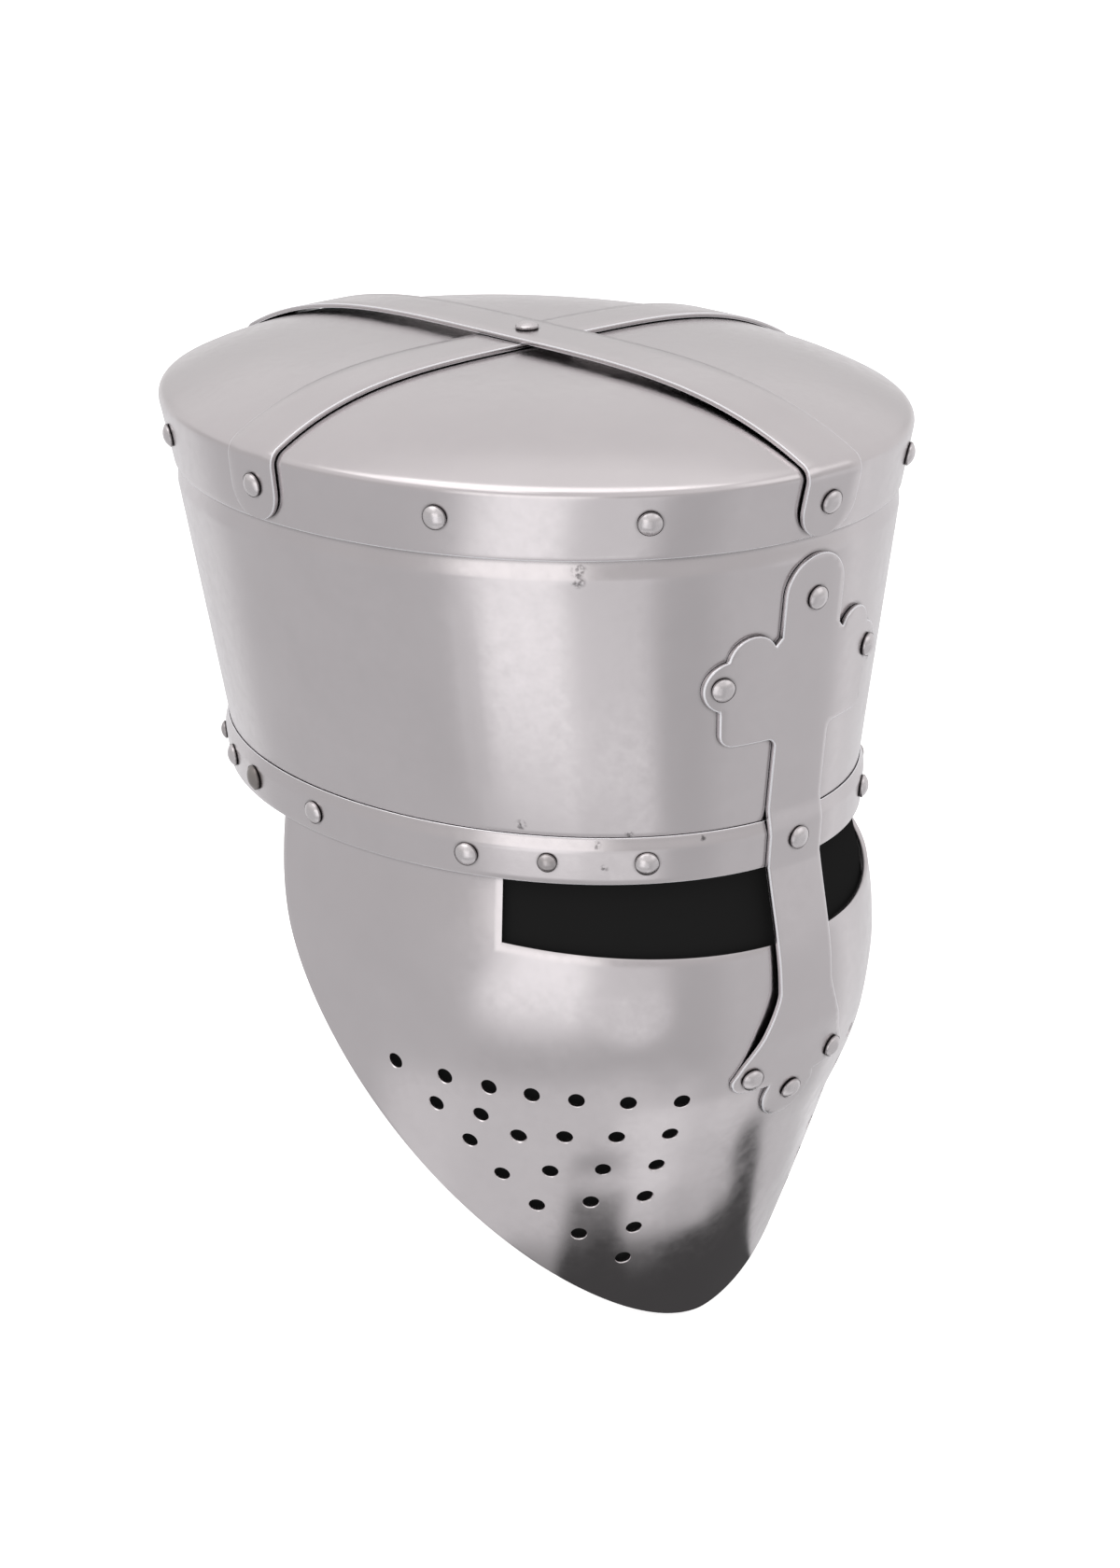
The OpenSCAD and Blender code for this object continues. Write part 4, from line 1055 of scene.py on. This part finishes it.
# The prong's eye as radii and places along the bar, and its rod as places along it and radii
eye_profile = [(1.48, -1.7), (1.48, 1.7), (2.1, 1.7), (2.6, 1.3), (2.68, 0), (2.6, -1.3), (2.1, -1.7),
               (1.48, -1.7)]
prong_eye = solids("prong_eye", turned(eye_profile, (bar_middle[None], bar_axis[None]), 32))
reach = np.array([1.9, 2.2, 5, 9, 13, 15.5, 17.0, 17.5, 17.6])[:, None, None]
thin = np.array([0.0, 1.1, 1.1, 1.05, 0.98, 0.9, 0.75, 0.4, 0.0])[:, None, None]
prong_tilt = math.asin((wire_d/2 + thin.max() + 0.1)/buckle_l)
prong_way = math.cos(prong_tilt)*bar_way - math.sin(prong_tilt)*bar_n
prong_up = math.cos(prong_tilt)*bar_n + math.sin(prong_tilt)*bar_way
a = np.linspace(0, 2*math.pi, 32, endpoint=False)[None, :, None]
rod = bar_middle + reach*prong_way + thin*(np.cos(a)*bar_axis + np.sin(a)*prong_up)
prong = joined([solids("buckle_prong_wire", rod[None]), prong_eye])
fitted(prong, "buckle_prong", dull_rivet, "prong")


# The studio floor is white paper at the level of the chin's tip. Steel mirrors it as a glow of painted
# light and painted shade: lit places, shaded places, and a painted shadow close under the chin.
floor_z = -face_h - 0.6
floor_half = 4000


def patched(tree, way, reading, level, patches):
    """Brightness by bearing and one more reading: a level, and for each patch its amount times two soft
    steps, one down with the angle from its bearing and one down with the distance from its reading.
    Bearings are in degrees from the photograph's camera, anticlockwise seen from above."""
    forward = add_node(tree, "ShaderNodeMath", {0: way["Y"], 1: -1.0}, operation="MULTIPLY")
    bearing = add_node(tree, "ShaderNodeMath", {0: way["X"], 1: forward.outputs[0]}, operation="ARCTAN2")
    for at, reach, soft, there, there_reach, there_soft, amount in patches:
        off = add_node(tree, "ShaderNodeMath", {0: bearing.outputs[0], 1: math.radians(at) + turn},
                       operation="SUBTRACT")
        off = add_node(tree, "ShaderNodeMath", {0: off.outputs[0], 1: math.pi, 2: -math.pi}, operation="WRAP")
        off = add_node(tree, "ShaderNodeMath", {0: off.outputs[0]}, operation="ABSOLUTE")
        in_turn = add_node(tree, "ShaderNodeMapRange", {
            "Value": off.outputs[0], "From Min": math.radians(reach), "From Max": math.radians(reach + soft),
            "To Min": 1.0, "To Max": 0.0}, interpolation_type="SMOOTHSTEP")
        away = add_node(tree, "ShaderNodeMath", {0: reading, 1: there}, operation="SUBTRACT")
        away = add_node(tree, "ShaderNodeMath", {0: away.outputs[0]}, operation="ABSOLUTE")
        in_range = add_node(tree, "ShaderNodeMapRange", {
            "Value": away.outputs[0], "From Min": there_reach, "From Max": there_reach + there_soft,
            "To Min": amount, "To Max": 0.0}, interpolation_type="SMOOTHSTEP")
        level = add_node(tree, "ShaderNodeMath", {
            0: in_turn.outputs[0], 1: in_range.outputs[0], 2: level}, operation="MULTIPLY_ADD").outputs[0]
    return level


floor_points = np.array([[-1, -1, 0], [1, -1, 0], [1, 1, 0], [-1, 1, 0]])*floor_half + [0, 0, floor_z]
floor_mesh = bpy.data.meshes.new("studio_floor")
floor_mesh.from_pydata((floor_points*MM).tolist(), [], [[0, 1, 2, 3]])
floor = bpy.data.objects.new("studio_floor", floor_mesh)
bpy.context.scene.collection.objects.link(floor)
white = bpy.data.materials.new("studio_white")
tree = blank_tree(white)
rays = add_node(tree, "ShaderNodeLightPath")
spot = add_node(tree, "ShaderNodeSeparateXYZ", {0: add_node(tree, "ShaderNodeTexCoord").outputs["Object"]})
flat_place = add_node(tree, "ShaderNodeCombineXYZ", {"X": spot.outputs["X"], "Y": spot.outputs["Y"]})
far = add_node(tree, "ShaderNodeVectorMath", {0: flat_place.outputs[0]}, operation="LENGTH")
# Each patch of painted light or painted shade on the paper: bearing, its reach and softness in degrees,
# distance from the helmet's middle, its reach and softness in metres, and how much it adds. Those that
# lie far away reach back in to where the patch begins.
far_away = 9.0
painted_floor_patches = [(-25, 12, 5, far_away, 8.54, 0.18, 0.46), (-8, 21, 8, far_away, 8.54, 0.18, 0.27),
                 (2, 12, 6, 0.4, 0.04, 0.03, 0.2), (-78, 34, 14, far_away, 9, 1, 0.06),
                 (75, 30, 14, far_away, 8.8, 0.1, 0.1), (80, 14, 8, far_away, 7.8, 0.4, 0.1),
                 (-146, 16, 16, far_away, 9, 1, 0.26), (140, 30, 20, far_away, 8.85, 0.1, 0.25),
                 (38, 27, 4, 0, 0.106, 0.012, -0.6), (9, 5, 7, 0, 0.128, 0.01, -0.6),
                 (62, 3, 5, 0, 0.13, 0.012, -0.6), (58, 6, 6, 0, 0.115, 0.012, -0.3),
                 (-6, 6, 10, 0, 0.104, 0.012, -0.32), (-15, 40, 15, 0.165, 0.05, 0.03, 0.2),
                 (95, 22, 8, 0.1, 0.03, 0.02, 0.1), (35, 18, 12, 0.15, 0.014, 0.02, 0.2)]
# Painted light: the glow's level where no patch lies, and the least glow, so that painted shadows keep a
# little light
painted_glow_base, least_painted_glow = 0.62, 0.08
painted_floor_glow = patched(tree, spot.outputs, far.outputs["Value"], painted_glow_base, painted_floor_patches)
painted_floor_glow = add_node(tree, "ShaderNodeMath", {0: painted_floor_glow, 1: least_painted_glow}, operation="MAXIMUM").outputs[0]
# The camera sees the paper nearly white with the helmet's real shadow on it, and steel sees the painted light
# and shade of its patches as glow
paint = add_node(tree, "ShaderNodeBsdfDiffuse", {"Color": tone("#e6e5e4")})
glow = add_node(tree, "ShaderNodeEmission", {"Color": (1, 1, 1, 1), "Strength": 0.75})
lit = add_node(tree, "ShaderNodeAddShader", {0: paint.outputs[0], 1: glow.outputs[0]})
mirrored = add_node(tree, "ShaderNodeEmission", {"Color": (0.99, 0.985, 1.0, 1), "Strength": painted_floor_glow})
shown = add_node(tree, "ShaderNodeMixShader", {
    0: rays.outputs["Is Camera Ray"], 1: paint.outputs[0], 2: lit.outputs[0]})
shown = add_node(tree, "ShaderNodeMixShader", {
    0: rays.outputs["Is Glossy Ray"], 1: shown.outputs[0], 2: mirrored.outputs[0]})
add_node(tree, "ShaderNodeOutputMaterial", {"Surface": shown.outputs[0]})
floor.data.materials.append(white)


# A matt black cloth hangs close inside the face plate: a dark sheet of painted shade, put where the helmet's
# inside lies in shade.
# It keeps the white paper from showing through the sights and the breaths, which are dark in the photograph.
cloth_z = np.concatenate([[0.8, -1.5, -4], np.linspace(-6, -174, 43)])[:, None]
cloth_share = np.linspace(-1, 1, 61)[None, :]
plate_low = np.minimum(cloth_z, 0)
# The gap to the plate is 1.2 mm at the sights, 3.5 mm at the breaths, and 0.6 mm at the chin
cloth_gap = lerp(lerp(1.2, 3.5, np.clip((-35 - cloth_z)/60, 0, 1)), 0.6, np.clip((-110 - cloth_z)/50, 0, 1))
cloth_level = grown(plate_level(plate_low), -sheet_t - cloth_gap)
# Its sides reach no further back than the plate's rear edge, and no further round than 88 degrees
rear_edge = edge_angle(plate_low)
rear_depth = plate_level(plate_low)[1]*np.cos(rear_edge)
kept_in = np.arccos(np.clip(rear_depth/cloth_level[1], -1, 1))
cloth_turn = np.minimum(np.radians(88), np.minimum(0.94*rear_edge, kept_in))
shade_cloth = skin("painted_shade_cloth", on(cloth_level, cloth_share*cloth_turn, cloth_z), False, False, sharp=60)
# Black wool: it throws nearly nothing back, from any side, and a faint painted glow sets how dark it shows
black = bpy.data.materials.new("painted_shade_matt_cloth")
tree = blank_tree(black)
shader = add_node(tree, "ShaderNodeBsdfPrincipled", {
    "Base Color": tone("#1a1a1a"), "Roughness": 1.0, "Specular IOR Level": 0.0,
    "Emission Color": (1, 1, 1, 1), "Emission Strength": 0.004})
add_node(tree, "ShaderNodeOutputMaterial", {"Surface": shader.outputs["BSDF"]})
shade_cloth.data.materials.append(black)


# Soft light comes from all round, brightest overhead, from high on the helmet's right and from low
# before its right cheek. The background is plain white, as in the photograph.
world = bpy.data.worlds.new("studio")
bpy.context.scene.world = world
tree = blank_tree(world)
way = add_node(tree, "ShaderNodeSeparateXYZ", {0: add_node(tree, "ShaderNodeTexCoord").outputs["Generated"]})
height = way.outputs["Z"]
top_light = add_node(tree, "ShaderNodeMapRange", {
    "Value": height, "From Min": 0.76, "From Max": 0.88, "To Min": 0.86, "To Max": 1.04},
    interpolation_type="SMOOTHSTEP")
# Soft boxes and dark walls round the helmet: bearing, reach and softness in degrees, the height's sine,
# its reach and softness, and how much each adds
sky_patches = [(-20, 98, 30, -0.1, 0.2, 0.2, -0.2), (-26, 16, 6, -0.1, 0.25, 0.15, 0.85),
               (-60, 24, 14, 0.72, 0.12, 0.1, 0.9), (70, 18, 10, 0.5, 0.14, 0.1, 0.35),
               (-15, 60, 25, 0.9, 0.07, 0.06, 0.7), (180, 25, 20, 0.16, 0.07, 0.1, -0.14)]
total = patched(tree, way.outputs, height, top_light.outputs["Result"], sky_patches)
rays = add_node(tree, "ShaderNodeLightPath")
studio_light = add_node(tree, "ShaderNodeBackground", {"Color": (1, 0.985, 0.99, 1), "Strength": total})
backdrop = add_node(tree, "ShaderNodeBackground", {"Color": (1, 1, 1, 1), "Strength": 1.0})
seen = add_node(tree, "ShaderNodeMixShader", {
    0: rays.outputs["Is Camera Ray"], 1: studio_light.outputs[0], 2: backdrop.outputs[0]})
add_node(tree, "ShaderNodeOutputWorld", {"Surface": seen.outputs[0]})
